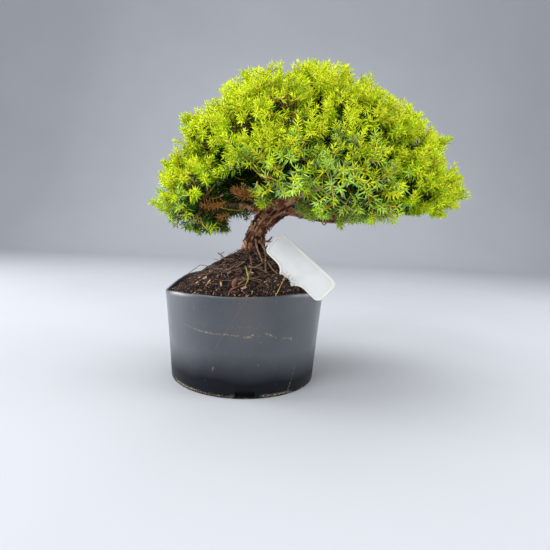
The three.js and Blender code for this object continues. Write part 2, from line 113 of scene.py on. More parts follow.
# Streaks of dried dirt and scratches on the pot: angle in degrees and height of start and end, half width,
# share of breaks, and strength
POT_MARKS = (
    ((-127, 0.0472), (-118, 0.0452), 0.0007, 0.50, 0.85),
    ((-118, 0.0452), (-111, 0.0441), 0.0009, 0.46, 0.95),
    ((-111, 0.0441), (-98, 0.0439), 0.0008, 0.46, 0.95),
    ((-98, 0.0439), (-89, 0.0434), 0.0008, 0.47, 0.95),
    ((-86, 0.0428), (-82, 0.0430), 0.0010, 0.40, 1),
    ((-82, 0.0430), (-80, 0.0447), 0.0008, 0.42, 0.9),
    ((-78, 0.0440), (-74, 0.0438), 0.0006, 0.52, 0.7),
    ((-71.5, 0.0454), (-68, 0.0440), 0.0009, 0.42, 0.95),
    ((-68, 0.0440), (-65, 0.0424), 0.0007, 0.50, 0.8),
    ((-61, 0.0408), (-59, 0.0420), 0.0007, 0.46, 0.85),
    ((-60, 0.0416), (-54, 0.0414), 0.0007, 0.47, 0.9),
    ((-54, 0.0420), (-53.5, 0.0398), 0.0006, 0.42, 0.8),
    ((-104, 0.0500), (-72, 0.0488), 0.0009, 0.57, 0.45),
    ((-85.5, 0.0675), (-105.5, 0.0332), 0.00022, 0.30, 0.22),
    ((-75, 0.0540), (-79, 0.0482), 0.0002, 0.38, 0.25),
    ((-47.3, 0.0227), (-49, 0.0110), 0.0003, 0.46, 0.45),
    ((-49, 0.0110), (-51.5, 0.0020), 0.0006, 0.44, 0.6),
    ((-106.4, 0.0209), (-107.3, 0.0178), 0.0005, 0.36, 0.7),
    ((-146, 0.0026), (-118, 0.0016), 0.0011, 0.44, 1),
    ((-118, 0.0016), (-96, 0.0014), 0.0008, 0.46, 0.9),
    ((-72, 0.0020), (-50, 0.0018), 0.0013, 0.48, 1),
)

# A brown stain that runs down from the rim, by its arc and height
STAIN_ENDS = ((-0.0805, 0.066, 0.0), (-0.0790, 0.046, 0.0))

# Litter on the mound: name, share of the chips, size, and the power that spreads it outwards
CHIP_KINDS = (
    ("chips_dark", 0.60, 0.52, 0.5),
    ("chips_red", 0.24, 0.47, 0.4),
    ("chips_tan", 0.08, 0.44, 0.5),
    ("grit_pale", 0.0015, 0.35, 0.5),
    ("moss", 0.0015, 0.3, 0.5),
)
CHIP_SIZES = ((0.0012, 0.0046), (0.0007, 0.0019), (0.0005, 0.0011))
CHIP_REACH = (0.02, 0.985)
CHIP_TILT = 0.35
CHIP_RISE = 0.0004
GRAIN_SCALE = 0.4
GRAIN_SIZE = 0.0011

# Larger splinters of pale wood that lie on the mound
SPLINTERS = np.array((
    (-0.0311, -0.0235, 0.0753), (-0.0263, -0.0283, 0.0758), (-0.0228, -0.0346, 0.0740),
    (-0.0313, -0.0306, 0.0727), (-0.0141, -0.0383, 0.0736), (0.0018, -0.0425, 0.0722),
    (-0.0098, -0.0296, 0.0803), (0.0060, -0.0308, 0.0811),
))
SPLINTER_SIZES = ((0.0024, 0.0012, 0.0006), (0.0042, 0.0020, 0.0010))
SPLINTER_RISE = 0.0009
MOUND_STEEPNESS = 0.045

# A seedling, its runner, a dry leaf and a straw: the points that each runs through, and radii
SPROUT_PATH = (
    (0.0021, -0.0401, 0.0740), (0.0038, -0.0404, 0.0773), (0.0041, -0.0406, 0.0800),
    (0.0031, -0.0404, 0.0833), (0.0023, -0.0400, 0.0866),
)
RUNNER_PATH = (
    (0.0021, -0.0401, 0.0746), (-0.0025, -0.0416, 0.0734), (-0.0062, -0.0437, 0.0715),
    (-0.0078, -0.0459, 0.0697), (-0.0080, -0.0488, 0.0672),
)
LEAF_PATH = ((-0.0057, -0.0426, 0.0724), (-0.0049, -0.0420, 0.0764), (-0.0034, -0.0410, 0.0797))
STRAW_PATH = ((0.0229, -0.0500, 0.0692), (0.0263, -0.0460, 0.0765), (0.0300, -0.0400, 0.0846))
SPROUT_RADII = (0.0004, 0.0003)
RUNNER_RADII = (0.0007, 0.0004)
STRAW_RADII = (0.00022, 0.00022)
LEAF_HALF_WIDTH = 0.0016
LEAF_FLATNESS = (1.0, 0.25, 0.4)

# Roots that show at the front of the mound: radius, and the points that each runs through
ROOT_PATHS = (
    (0.0008, (
        (0.0064, -0.0100, 0.1045), (0.0082, -0.0128, 0.0977), (0.0112, -0.0172, 0.0915),
        (0.0127, -0.0217, 0.0879),
    )),
    (0.0009, (
        (0.0105, -0.0070, 0.1020), (0.0132, -0.0112, 0.0978), (0.0143, -0.0130, 0.0935),
        (0.0146, -0.0198, 0.0888), (0.0154, -0.0286, 0.0823),
    )),
    (0.0013, (
        (-0.0014, -0.0030, 0.0972), (-0.0050, -0.0060, 0.0941), (-0.0100, -0.0080, 0.0908),
        (-0.0195, -0.0080, 0.0842),
    )),
    (0.0003, (
        (-0.0440, -0.0060, 0.0760), (-0.0376, -0.0070, 0.0808), (-0.0338, -0.0080, 0.0833),
        (-0.0240, -0.0080, 0.0820),
    )),
    (0.0005, ((-0.0213, -0.0080, 0.0929), (-0.0181, -0.0090, 0.0909), (-0.0139, -0.0100, 0.0870))),
    (0.0003, ((-0.0171, -0.0060, 0.0937), (-0.0191, -0.0070, 0.0914), (-0.0181, -0.0080, 0.0850))),
    (0.0005, (
        (-0.0139, -0.0279, 0.0817), (-0.0097, -0.0274, 0.0838), (-0.0060, -0.0257, 0.0863),
        (-0.0015, -0.0222, 0.0887),
    )),
    (0.0006, ((-0.0057, -0.0267, 0.0846), (-0.0030, -0.0244, 0.0866), (0.0002, -0.0220, 0.0887))),
    (0.0007, (
        (0.0038, -0.0266, 0.0857), (0.0076, -0.0272, 0.0853), (0.0117, -0.0234, 0.0876),
        (0.0149, -0.0197, 0.0892),
    )),
    (0.0006, ((0.0164, -0.0200, 0.0886), (0.0201, -0.0250, 0.0843), (0.0247, -0.0330, 0.0815))),
    (0.0005, (
        (0.0034, -0.0174, 0.0921), (0.0044, -0.0221, 0.0889), (0.0052, -0.0273, 0.0852),
        (0.0040, -0.0340, 0.0797),
    )),
    (0.0005, (
        (-0.0025, -0.0409, 0.0747), (0.0025, -0.0372, 0.0778), (0.0076, -0.0361, 0.0786),
        (0.0134, -0.0371, 0.0776),
    )),
    (0.0004, (
        (-0.0141, -0.0155, 0.0877), (-0.0213, -0.0207, 0.0824), (-0.0272, -0.0266, 0.0771),
        (-0.0331, -0.0295, 0.0723),
    )),
)

# Fine roots: points along each, start from the mound's middle, run outwards, height of the hop between the
# ends, how far they fall from start to end, and radius
ROOTLET_STEPS = 9
ROOTLET_START = (0.005, 0.034)
ROOTLET_RUN = (-0.002, 0.014)
ROOTLET_HOP = (0.0006, 0.0022)
ROOTLET_FALL = 0.001
ROOTLET_RADII = (0.00013, 0.00032)

# Whiskers that stand off the mound: number, distance from its middle, length, radius and depth of their feet
WHISKERS = 120
WHISKER_START = (0.011, 0.040)
WHISKER_LENGTH = (0.003, 0.0075)
WHISKER_RADIUS = 0.00015
WHISKER_SINK = 0.001

# Trunk and boughs, with the sizes of their solids
TRUNK_FOOT = np.array((0.0054, 0.0, 0.0953))
TRUNK_FORK = np.array((0.027, 0.0, 0.131))
TRUNK_RISE = 0.018
TRUNK_LEAN = np.array((0.011, 0.0, 0.005))
TRUNK_FOOT_RADIUS = 0.0072
TRUNK_FORK_RADIUS = 0.0072
TRUNK_WAIST = 0.0022
TRUNK_WAIST_SHARE = 0.36
TRUNK_WAIST_SPREAD = 0.2
ROOT_FLARE = 0.0018
ROOT_FLARE_SHARE = 0.14
ROOT_COUNT = 5
ROOT_RIDGE = 0.5
BOUGH_TAPER = 0.45
COLLAR_SWELL = 0.35
COLLAR_SHARE = 0.1
LIMB_STEPS = 100

# Bark: rows and columns of its skins, turn and stretch of the furrows along a limb, size and share of the
# plates, strips and crumbs, and how much lighter the boughs are than their relief alone, which is painted
# light on boughs that the crown shades, more on the left one
TRUNK_GRID = (190, 120)
BOUGH_GRID = (80, 30)
END_ROWS = 4
FURROW_TURN = 25
FURROW_STRETCH = 0.24
PLATE_SIZE = 0.0042
STRIP_SIZE = 0.0017
CRUMB_SIZE = 0.0012
PLATE_SHARE = 0.5
STRIP_SHARE = 0.5
CRUMB_SHARE = 0.35
FULL_RELIEF_RADIUS = 0.0115
BOUGH_PAINTED_LIGHT = 0.2
LEFT_BOUGH_PAINTED_LIGHT = 0.55

# A gap between the trunk's foot and its right-hand roots, sunk in and painted dark as shade
FOOT_GAP_CENTRE = np.array((0.0100, -0.0088, 0.0985))
FOOT_GAP_RADIUS = 0.0045
FOOT_GAP_DEPTH = 0.0026

# Loose flakes: share of them on each limb, least and largest sizes, and the radius of limb that they are for
FLAKE_SHARES = (("trunk", 0.6), ("left_low", 0.14), ("right_low", 0.14), ("top", 0.12))
FLAKE_SIZES = ((0.0024, 0.0010, 0.0003), (0.0076, 0.0028, 0.0006))
FLAKE_RADIUS = 0.007

# Broken twigs at the trunk's foot: radius, and the points that each runs through
STUB_PATHS = (
    (0.0009, (
        (0.0100, -0.0010, 0.1028), (0.0152, 0.0, 0.1030), (0.0175, 0.0, 0.1052), (0.0186, 0.0, 0.1068),
    )),
    (0.0006, ((0.0140, -0.0005, 0.1030), (0.0160, -0.001, 0.1026), (0.0182, -0.002, 0.1030))),
)

# A curled twig under the right bough: where along X it hangs, its radius, and its points from there
CURL_X = 0.0555
CURL_RADIUS = 0.0006
CURL_PATH = ((0.0, 0.0, 0.0), (0.0002, -0.001, -0.0042), (0.0022, -0.001, -0.0056), (0.0026, 0.0, -0.0036))

# Crown, with the sizes of its solids
CROWN_CENTRE = np.array((0.0416, 0.0, 0.129))
CROWN_HALVES = np.array((0.1145, 0.092, 0.103))
CROWN_DROP = 0.038
CROWN_TILT = math.radians(2.2)
CROWN_SQUARENESS = 1.8
CROWN_SHELL = 0.7
MASS_RADIUS = 0.044
MASS_GAP = 0.0003
CORE_SHARE = 0.6
STEM_CLEARANCE = 0.0015
INWARD_LIMIT = -0.3

# How far needles hang below the tips that carry them
NEEDLE_SAG = 0.004

# Growth of a mass, as shares of the way to its surface: chance turn between ways, where twigs, branchlets and
# shoots end, where they start on what carries them, how deep the dips between branchlets are over the crown's
# middle and sides, and where the old inner shoots start and end
WAY_SWING = 0.6
TWIG_END = 0.46
BRANCHLET_START = (0.55, 1.0)
BRANCHLET_END = (0.64, 0.78)
SHOOT_START = (0.5, 1.0)
SHOOT_JITTER = (-0.07, 0.03)
SHOOT_LEAST = 0.62
DIP_MIDDLE = 0.36
DIP_SIDES = 0.12
INNER_START = (0.1, 0.4)
INNER_END = (0.45, 0.72)

# Stems: radius at foot and tip, how far chance bends their middles, and how far they sag, which is a share of
# the length for shoots
TWIG_RADII, TWIG_BEND, TWIG_SAG = (0.0013, 0.0007), 0.0016, 0.001
BRANCHLET_RADII, BRANCHLET_BEND, BRANCHLET_SAG = (0.0007, 0.0005), 0.0009, 0.0012
SHOOT_RADII, SHOOT_BEND, SHOOT_SAG = (0.00055, 0.00024), 0.0012, 0.12

# Below this height at the left the sprays hang apart, with gaps of about this size
HANGING_TOP = 0.122
HANGING_GAP = 0.008

# Hollows in the crown, each with its centre and half sizes: three over, round and under the left bough, then
# dips in the outline and the lifted hem
HOLLOWS = np.array((
    ((-0.001, -0.052, 0.1425), (0.017, 0.036, 0.0095)),
    ((-0.0165, -0.045, 0.1275), (0.018, 0.042, 0.0085)),
    ((-0.0105, 0.015, 0.1165), (0.0095, 0.060, 0.0065)),
    ((-0.0600, 0.0, 0.1770), (0.0110, 0.09, 0.013)),
    ((-0.0705, -0.01, 0.1400), (0.0110, 0.06, 0.0085)),
    ((-0.0670, -0.01, 0.1165), (0.0120, 0.06, 0.0060)),
    ((0.0906, 0.0, 0.2235), (0.009, 0.06, 0.009)),
    ((0.0127, 0.0, 0.2345), (0.0055, 0.05, 0.0070)),
    ((0.0540, 0.0, 0.2365), (0.0055, 0.05, 0.0070)),
    ((0.1090, 0.0, 0.2125), (0.0070, 0.05, 0.0060)),
    ((0.1080, -0.02, 0.1210), (0.0125, 0.07, 0.0075)),
    ((0.1505, 0.0, 0.1715), (0.0110, 0.07, 0.0085)),
    ((0.1555, 0.0, 0.130), (0.014, 0.09, 0.009)),
))

# Sprays at places of their own: how far chance moves their shoots along each axis, and for each its kind,
# number of shoots, start and end
SPRAY_SPREAD = (0.0019, 0.0026, 0.0013)
SPRAYS = (
    ("dead", 3, (0.004, -0.012, 0.1375), (-0.010, -0.020, 0.1385)),
    ("dead", 2, (-0.0150, -0.016, 0.1300), (-0.0265, -0.024, 0.1270)),
    ("dead", 1, (-0.0240, -0.022, 0.1275), (-0.0360, -0.026, 0.1285)),
    ("dead", 1, (-0.0133, -0.008, 0.1240), (-0.0225, -0.012, 0.1200)),
    ("inner", 9, (0.020, 0.012, 0.142), (-0.004, 0.016, 0.150)),
    ("inner", 9, (0.012, 0.014, 0.138), (-0.014, 0.020, 0.146)),
    ("inner", 9, (-0.004, 0.014, 0.150), (-0.0200, 0.016, 0.1560)),
    ("inner", 9, (0.006, 0.012, 0.152), (-0.0070, 0.015, 0.1525)),
    ("inner", 9, (0.012, 0.012, 0.156), (-0.0100, 0.015, 0.1585)),
    ("inner", 9, (-0.008, 0.012, 0.141), (-0.0220, 0.016, 0.1440)),
    ("inner", 6, (0.016, 0.010, 0.1505), (0.0030, 0.012, 0.1510)),
    ("inner", 6, (0.006, 0.012, 0.133), (-0.0135, 0.016, 0.1355)),
    ("inner", 6, (0.030, 0.010, 0.134), (0.052, 0.014, 0.131)),
    ("inner", 6, (0.030, 0.010, 0.140), (0.052, 0.014, 0.138)),
    ("inner", 6, (0.045, 0.012, 0.139), (0.068, 0.018, 0.136)),
    ("inner", 7, (0.0378, 0.0080, 0.1523), (0.0518, 0.0140, 0.1582)),
    ("inner", 7, (0.0421, 0.0080, 0.1434), (0.0587, 0.0140, 0.1478)),
    ("inner", 7, (0.0476, 0.0060, 0.1390), (0.0637, 0.0120, 0.1401)),
    ("inner", 7, (0.0611, 0.0100, 0.1521), (0.0773, 0.0160, 0.1565)),
    ("inner", 7, (0.0732, 0.0100, 0.1450), (0.0905, 0.0160, 0.1478)),
    ("inner", 7, (0.0845, 0.0120, 0.1549), (0.1029, 0.0180, 0.1579)),
    ("inner", 7, (0.0946, 0.0120, 0.1446), (0.1117, 0.0180, 0.1474)),
    ("inner", 7, (0.0223, 0.0060, 0.1529), (0.0362, 0.0120, 0.1572)),
    ("inner", 2, (0.0002, 0.0080, 0.1285), (-0.0020, 0.0110, 0.1193)),
    ("inner", 8, (0.0300, 0.0440, 0.1480), (0.0400, 0.0590, 0.1540)),
    ("inner", 8, (0.0290, 0.0480, 0.1600), (0.0420, 0.0540, 0.1640)),
    ("inner", 8, (0.0500, 0.0300, 0.1520), (0.0620, 0.0430, 0.1600)),
    ("inner", 8, (0.0340, -0.0300, 0.1500), (0.0430, -0.0450, 0.1540)),
    ("inner", 8, (0.0360, -0.0360, 0.1600), (0.0480, -0.0420, 0.1620)),
    ("inner", 6, (0.0820, -0.0060, 0.1500), (0.0960, -0.0120, 0.1540)),
    ("fresh", 3, (0.0340, -0.010, 0.1370), (0.0384, -0.019, 0.1275)),
    ("fresh", 5, (0.0383, -0.012, 0.1354), (0.0435, -0.020, 0.1239)),
    ("fresh", 5, (0.0430, -0.012, 0.1338), (0.0471, -0.020, 0.1227)),
    ("fresh", 5, (0.046, -0.010, 0.1360), (0.0505, -0.020, 0.1258)),
    ("fresh", 4, (0.0700, -0.010, 0.1310), (0.0745, -0.018, 0.1222)),
    ("fresh", 4, (0.0770, -0.010, 0.1310), (0.0810, -0.018, 0.1219)),
    ("fresh", 4, (0.0830, -0.010, 0.1310), (0.0865, -0.018, 0.1216)),
    ("lit", 3, (0.0173, -0.024, 0.1385), (0.0095, -0.030, 0.1292)),
    ("lit", 3, (0.0158, -0.024, 0.1405), (0.0045, -0.032, 0.1362)),
    ("lit", 4, (0.0666, -0.008, 0.1275), (0.0672, -0.014, 0.1185)),
    ("lit", 6, (-0.0520, -0.018, 0.1276), (-0.0665, -0.020, 0.1276)),
    ("lit", 6, (-0.0360, -0.004, 0.1840), (-0.0485, -0.004, 0.1915)),
    ("lit", 6, (-0.0380, 0.004, 0.1760), (-0.0500, 0.004, 0.1825)),
    ("lit", 6, (-0.0480, 0.0, 0.1560), (-0.0620, 0.0, 0.1580)),
    ("lit", 5, (-0.0012, 0.0, 0.214), (-0.0053, 0.0, 0.2265)),
    ("lit", 5, (0.0795, 0.0, 0.213), (0.0825, 0.0, 0.2255)),
    ("lit", 6, (0.0685, 0.0, 0.219), (0.0660, 0.0, 0.2310)),
    ("lit", 6, (0.1290, 0.0, 0.175), (0.1430, 0.0, 0.1840)),
    ("lit", 6, (0.1430, 0.0, 0.153), (0.1565, 0.0, 0.1565)),
    ("lit", 4, (0.1480, 0.0, 0.143), (0.1600, 0.0, 0.1412)),
    ("lit", 1, (0.0084, -0.062, 0.1442), (-0.0084, -0.078, 0.1651)),
    ("lit", 1, (0.0002, -0.070, 0.1554), (-0.0070, -0.076, 0.1491)),
    ("lit", 1, (-0.0036, -0.074, 0.1590), (0.0029, -0.079, 0.1643)),
)

# Each mass: name, azimuth and elevation in degrees, reach of the dome there, lowest height, limb that its
# bough leaves and the share of that limb's length, radius of the bough, and lift of its middle
MASS_TABLE = (
    ("left_low", -164, 3, 0.97, 0.106, "trunk", 0.66, 0.0034, 0.0025),
    ("right_low", 2, 8, 1.05, 0.128, "trunk", 0.97, 0.0044, -0.027),
    ("top", -70, 79, 1.0, 0.150, "trunk", 0.94, 0.0042, 0.006),
    ("front_low", -70, 12, 0.96, 0.116, "trunk", 0.9, 0.0026, 0.004),
    ("back_low", 104, 8, 1.0, 0.126, "trunk", 0.84, 0.0027, 0.003),
    ("left_back_low", 150, 2, 0.98, 0.103, "left_low", 0.4, 0.0020, 0.002),
    ("right_front_low", -34, 7, 1.0, 0.123, "right_low", 0.3, 0.0023, 0.0),
    ("right_back_low", 50, 8, 1.0, 0.122, "right_low", 0.42, 0.0022, 0.0),
    ("left_high", 178, 40, 1.0, 0.128, "top", 0.12, 0.0026, 0.004),
    ("front_left_low", -103, 21, 0.97, 0.129, "top", 0.08, 0.0022, 0.002),
    ("front_left_high", -120, 47, 1.0, 0.146, "top", 0.28, 0.0023, 0.002),
    ("front_right_high", -56, 45, 0.98, 0.140, "top", 0.42, 0.0022, 0.0),
    ("top_left", 178, 68, 1.03, 0.150, "top", 0.46, 0.0024, 0.002),
    ("top_right", 14, 60, 0.97, 0.150, "top", 0.6, 0.0024, 0.0),
    ("right_high", -8, 31, 1.0, 0.140, "top", 0.34, 0.0024, -0.002),
    ("back_right_high", 64, 45, 0.98, 0.140, "top", 0.5, 0.0022, 0.0),
    ("back_left_high", 122, 44, 1.0, 0.136, "top", 0.22, 0.0023, 0.002),
)

# Label, with the sizes of its solid
LABEL_CENTRE = (0.0384, -0.037, 0.0884)
LABEL_LENGTH = 0.0555
LABEL_WIDTH = 0.0182
LABEL_CORNER = 0.0045
LABEL_STEM_WIDTH = 0.010
LABEL_STEM_LENGTH = 0.034
LABEL_POINT = 0.009
LABEL_FILLET = 0.009
LABEL_THICKNESS = 0.0009
LABEL_TURN = math.radians(-37.9)
LABEL_LEAN = math.radians(22)
LABEL_SWING = math.radians(-18)
LABEL_EDGE = 0.0002
LABEL_BEVEL = 0.0003
LABEL_LEAST_CORNER = 0.0004
LABEL_POINT_INSET = 1.8
LABEL_SMEAR = ((0.0265, -0.0358, 0.0815), (0.0345, -0.0402, 0.0765))

# Camera at the height and distance that the plant is seen from
CAMERA_PLACE = (0.022, -0.316, 0.115)
CAMERA_PITCH = math.radians(83.21)
CAMERA_ROLL = math.radians(2.64)
CAMERA_LENS = 27.03
CAMERA_SENSOR = 36.0
CAMERA_CLIP = 0.01

# Floor and backdrop: half width, front edge, start and radius of the bend between them, and top
FLOOR_HALF_WIDTH = 3.0
FLOOR_FRONT = -2.0
FLOOR_BEND_START = 1.0
FLOOR_BEND_RADIUS = 0.5
BACKDROP_TOP = 2.5

# Lights: name, place, point that each faces, and size
LIGHTS = (
    ("key", (-0.55, -0.75, 0.95), (0.03, 0.0, 0.12), 0.7),
    ("fill", (0.95, -0.1, 0.35), (0.03, 0.0, 0.11), 0.6),
    ("side", (-0.95, 0.0, 0.3), (0.03, 0.0, 0.11), 0.6),
    ("top", (0.05, 0.15, 1.1), (0.03, 0.0, 0.15), 0.9),
)
SKY_COLOUR = (0.90, 0.94, 1.0, 1.0)

# Needles: colours in the order of their numbers, brightness between the first four, shape of a needle, spread
# of its angle from the stem, and lengths back from a shoot's tip over which the needles open, grow and darken
NEEDLE_TINTS = ("deep", "leaf", "lime", "tip", "fresh", "glaucous", "dead")
LEAF_TONE, FRESH_TONE, GLAUCOUS_TONE, DEAD_TONE = 1, 4, 5, 6
TONE_STEPS = (0.26, 0.47, 0.70)
NEEDLES_PER_PIECE = 32000
NEEDLE_BELLY = 0.35
NEEDLE_KEEL = 0.45
TIP_ANGLE = math.radians(32)
OPEN_ANGLE = math.radians(64)
LOOSE_ANGLE = math.radians(72)
OPEN_LENGTH = 0.006
LOOSE_LENGTH = 0.004
GROWN_LENGTH = 0.006
DARK_LENGTH = 0.013
LIME_LENGTH = 0.004
GREEN_LENGTH = 0.0035
FIRST_WHORL = 0.0004
SPARSE_LENGTH = 0.004

# Light in the crown, each with a start and the run from there to its full share: brightness that rises and
# grows outwards, bright flanks off the middle, the dim low left, the shade under an edge that climbs to the
# right, and dimming inwards, which is less higher up
LIGHT_RISE = (0.105, 0.12)
LIGHT_OUTWARD = (0.6, 0.4)
LIGHT_PATCH = 0.02
FLANK_MIDDLE = 0.045
FLANK_OUTWARD = (0.055, 0.03)
FLANK_RISE = (0.140, 0.02)
DIM_LEFTWARD = (0.02, -0.04)
DIM_DOWNWARD = (0.1265, -0.009)
SHADE_EDGES = (0.142, 0.172)
SHADE_CLIMB = (-0.02, 0.03)
SHADE_DEPTH = -0.03
SHADE_LEFTWARD = (0.108, -0.025)
DARK_INWARD = (0.84, -0.2)
DARK_RISE = (0.150, 0.04)

# Places of bluish shoots over the right bough and at the left: centre and spread along X, then along Z
BLUISH_PLACES = ((0.05, 0.05, 0.137, 0.022), (-0.048, 0.018, 0.130, 0.012))


def colour_property(name, bearer, default):
    """The colour of its bearer, which the panel shows as a swatch."""
    return FloatVectorProperty(
        name=name, description=f"Colour of {bearer}", default=default, subtype="COLOR", min=0.0, max=1.0
    )


def length_property(name, description, default):
    """A length in metres."""
    return FloatProperty(name=name, description=description, default=default, min=0.0, unit="LENGTH")


def count_property(name, description, default, least=0):
    """A number of like things."""
    return IntProperty(name=name, description=description, default=default, min=least)


def power_property(name, light, default):
    """The power of a light in watts."""
    return FloatProperty(
        name=name, description=f"Power of {light}", default=default, min=0.0, unit="POWER"
    )


def group_property(name, kind):
    """A group of settings."""
    return PointerProperty(name=name, description=f"{name} settings", type=kind)


class BONSAI_PG_pot(bpy.types.PropertyGroup):
    """Sizes and colours of the pot."""

    wall: length_property("Wall", "Thickness of the plastic", 0.0014)
    ripple: length_property("Ripple", "How far the thin wall waves in and out", 0.0004)
    # Dark plastic, which also paints the low wall as a dark reflection at the foot
    plastic: colour_property("Plastic", "the plastic", (0.008, 0.0095, 0.013))
    faded: colour_property("Faded", "the plastic where it has faded", (0.059, 0.068, 0.083))
    dust: colour_property("Dust", "the dried dirt", (0.42, 0.35, 0.24))
    stain: colour_property("Stain", "the brown stain under the rim", (0.105, 0.082, 0.072))


class BONSAI_PG_soil(bpy.types.PropertyGroup):
    """Sizes, counts and colours of the soil and of what lies on it."""

    relief: length_property("Relief", "Height of the lumps in the mound", 0.0011)
    chips: count_property("Chips", "Number of bark chips", 12000)
    rootlets: count_property("Rootlets", "Number of fine roots", 260)
    earth: colour_property("Earth", "the moist soil", (0.015, 0.010, 0.008))
    chip_dark: colour_property("Dark chips", "the weathered chips", (0.034, 0.021, 0.016))
    chip_red: colour_property("Red chips", "the fresh chips", (0.125, 0.056, 0.038))
    chip_tan: colour_property("Tan chips", "the split wood", (0.37, 0.23, 0.15))
    root: colour_property("Roots", "the fine roots", (0.21, 0.125, 0.080))
    grit: colour_property("Grit", "the pale grit", (0.7, 0.68, 0.62))
    moss: colour_property("Moss", "the crumbs of moss", (0.06, 0.14, 0.03))
    sprout: colour_property("Sprout", "the seedling's stem", (0.36, 0.39, 0.045))
    dry_leaf: colour_property("Dry leaf", "the dry leaf and the runner", (0.17, 0.070, 0.045))
    straw: colour_property("Straw", "the straw", (0.52, 0.34, 0.12))


class BONSAI_PG_label(bpy.types.PropertyGroup):
    """Sizes and colours of the label."""

    border: length_property("Border", "Width of the raised border", 0.0014)
    border_rise: length_property("Border rise", "Height of the raised border", 0.00028)
    plastic: colour_property("Plastic", "the plastic", (0.60, 0.61, 0.625))
    edge: colour_property("Edge", "the worn border", (0.66, 0.655, 0.62))
    smudge: colour_property("Smudge", "the soil smeared on it", (0.22, 0.18, 0.14))


class BONSAI_PG_wood(bpy.types.PropertyGroup):
    """Sizes and colours of the trunk and boughs."""

    relief: length_property("Relief", "Depth of the furrows in the trunk's bark", 0.0019)
    flakes: count_property("Flakes", "Number of loose flakes of bark", 620)
    ridge: colour_property("Ridges", "the outer bark", (0.42, 0.178, 0.092))
    # The furrows' colour is the bark's own darker colour there together with painted shade
    furrow: colour_property("Furrows", "the bark deep in its furrows", (0.020, 0.010, 0.006))
    fresh: colour_property("Fresh bark", "the bark where it has peeled", (0.28, 0.095, 0.058))
    # The boughs' own smoother bark, made lighter still as painted light where the crown shades them
    bough: colour_property("Boughs", "the smoother bark of the boughs", (0.68, 0.350, 0.200))
    flake_pale: colour_property("Pale flakes", "the weathered flakes", (0.43, 0.220, 0.125))
    flake_brown: colour_property("Brown flakes", "the common flakes", (0.150, 0.056, 0.028))
    flake_dark: colour_property("Dark flakes", "the shaded flakes", (0.042, 0.018, 0.010))


class BONSAI_PG_foliage(bpy.types.PropertyGroup):
    """Sizes, counts and colours of the twigs and needles."""

    twigs: count_property("Twigs", "Twigs in each mass", 10, 1)
    branchlets: count_property("Branchlets", "Branchlets in each mass", 36, 1)
    shoots: count_property("Shoots", "Leafy shoots in each mass", 190, 1)
    inner: count_property("Inner shoots", "Old shoots deep in each mass", 55)
    needle_length: length_property("Needle length", "Length of a full-grown needle", 0.0056)
    needle_width: length_property("Needle width", "Width of a full-grown needle", 0.00118)
    whorl_gap: length_property("Whorl gap", "Distance between whorls of three needles", 0.0014)
    leafy: length_property("Leafy length", "Length of a shoot that carries needles", 0.019)
    # Tip, lime, leaf and deep go by brightness: partly the needles' age, partly painted light and shade
    tip: colour_property("Tip", "the new tips", (0.66, 0.76, 0.022))
    lime: colour_property("Lime", "young needles", (0.48, 0.635, 0.006))
    leaf: colour_property("Leaf", "needles in their second year", (0.27, 0.46, 0.008))
    fresh: colour_property("Fresh", "young needles in the shade", (0.46, 0.69, 0.090))
    deep: colour_property("Deep", "old needles", (0.027, 0.078, 0.012))
    glaucous: colour_property("Glaucous", "the bluish inner faces", (0.26, 0.45, 0.22))
    dead: colour_property("Dead", "dried needles", (0.58, 0.25, 0.090))
    stem: colour_property("Stem", "young stems", (0.64, 0.41, 0.032))
    branchlet: colour_property("Branchlet", "branchlets", (0.30, 0.155, 0.045))
    twig: colour_property("Twig", "woody twigs", (0.17, 0.085, 0.045))


class BONSAI_PG_stage(bpy.types.PropertyGroup):
    """Colours and light of the floor and backdrop."""

    floor: colour_property("Floor", "the floor and backdrop", (0.465, 0.48, 0.51))
    key: power_property("Key", "the main light", 8.5)
    fill: power_property("Fill", "the light at the right", 6.5)
    side: power_property("Side", "the light at the left", 11.0)
    top: power_property("Top", "the light above", 7.0)
    sky: FloatProperty(name="Sky", description="Strength of the light all round", default=0.6, min=0.0)


class BONSAI_PG_settings(bpy.types.PropertyGroup):
    """All settings of the bonsai."""

    pot: group_property("Pot", BONSAI_PG_pot)
    soil: group_property("Soil", BONSAI_PG_soil)
    label: group_property("Label", BONSAI_PG_label)
    wood: group_property("Wood", BONSAI_PG_wood)
    foliage: group_property("Foliage", BONSAI_PG_foliage)
    stage: group_property("Stage", BONSAI_PG_stage)


def unit(vectors):
    """Each vector divided by its length."""
    return vectors / np.maximum(np.linalg.norm(vectors, axis=-1, keepdims=True), 1e-12)


def blend(low, high, share):
    """The value that lies a share of the way from low to high."""
    return low + (high - low) * share


def ramp(value, start, run):
    """A share that is 0 at the start, 1 a run further on, and held between them beyond."""
    return np.clip((value - start) / run, 0, 1)


def round_angles(count):
    """Angles of even steps round a circle."""
    return np.arange(count) * FULL_TURN / count


def swung(side, over, angle):
    """Directions at an angle from one direction towards another: side cos(angle) + over sin(angle)."""
    return side * np.cos(angle)[..., None] + over * np.sin(angle)[..., None]


def round_axis(radius, angle, height):
    """Points at a radius, an angle and a height about a vertical axis."""
    return np.stack(np.broadcast_arrays(radius * np.cos(angle), radius * np.sin(angle), height), -1)


def tilted(points, angle):
    """Points turned about the Y axis."""
    cos, sin = math.cos(angle), math.sin(angle)
    x, y, z = np.moveaxis(points, -1, 0)
    return np.stack((x * cos + z * sin, y, z * cos - x * sin), -1)


def between(places, knots, points):
    """Points at places along a chain whose own points lie at the knots."""
    return np.stack([np.interp(places, knots, points[:, axis]) for axis in range(3)], -1)


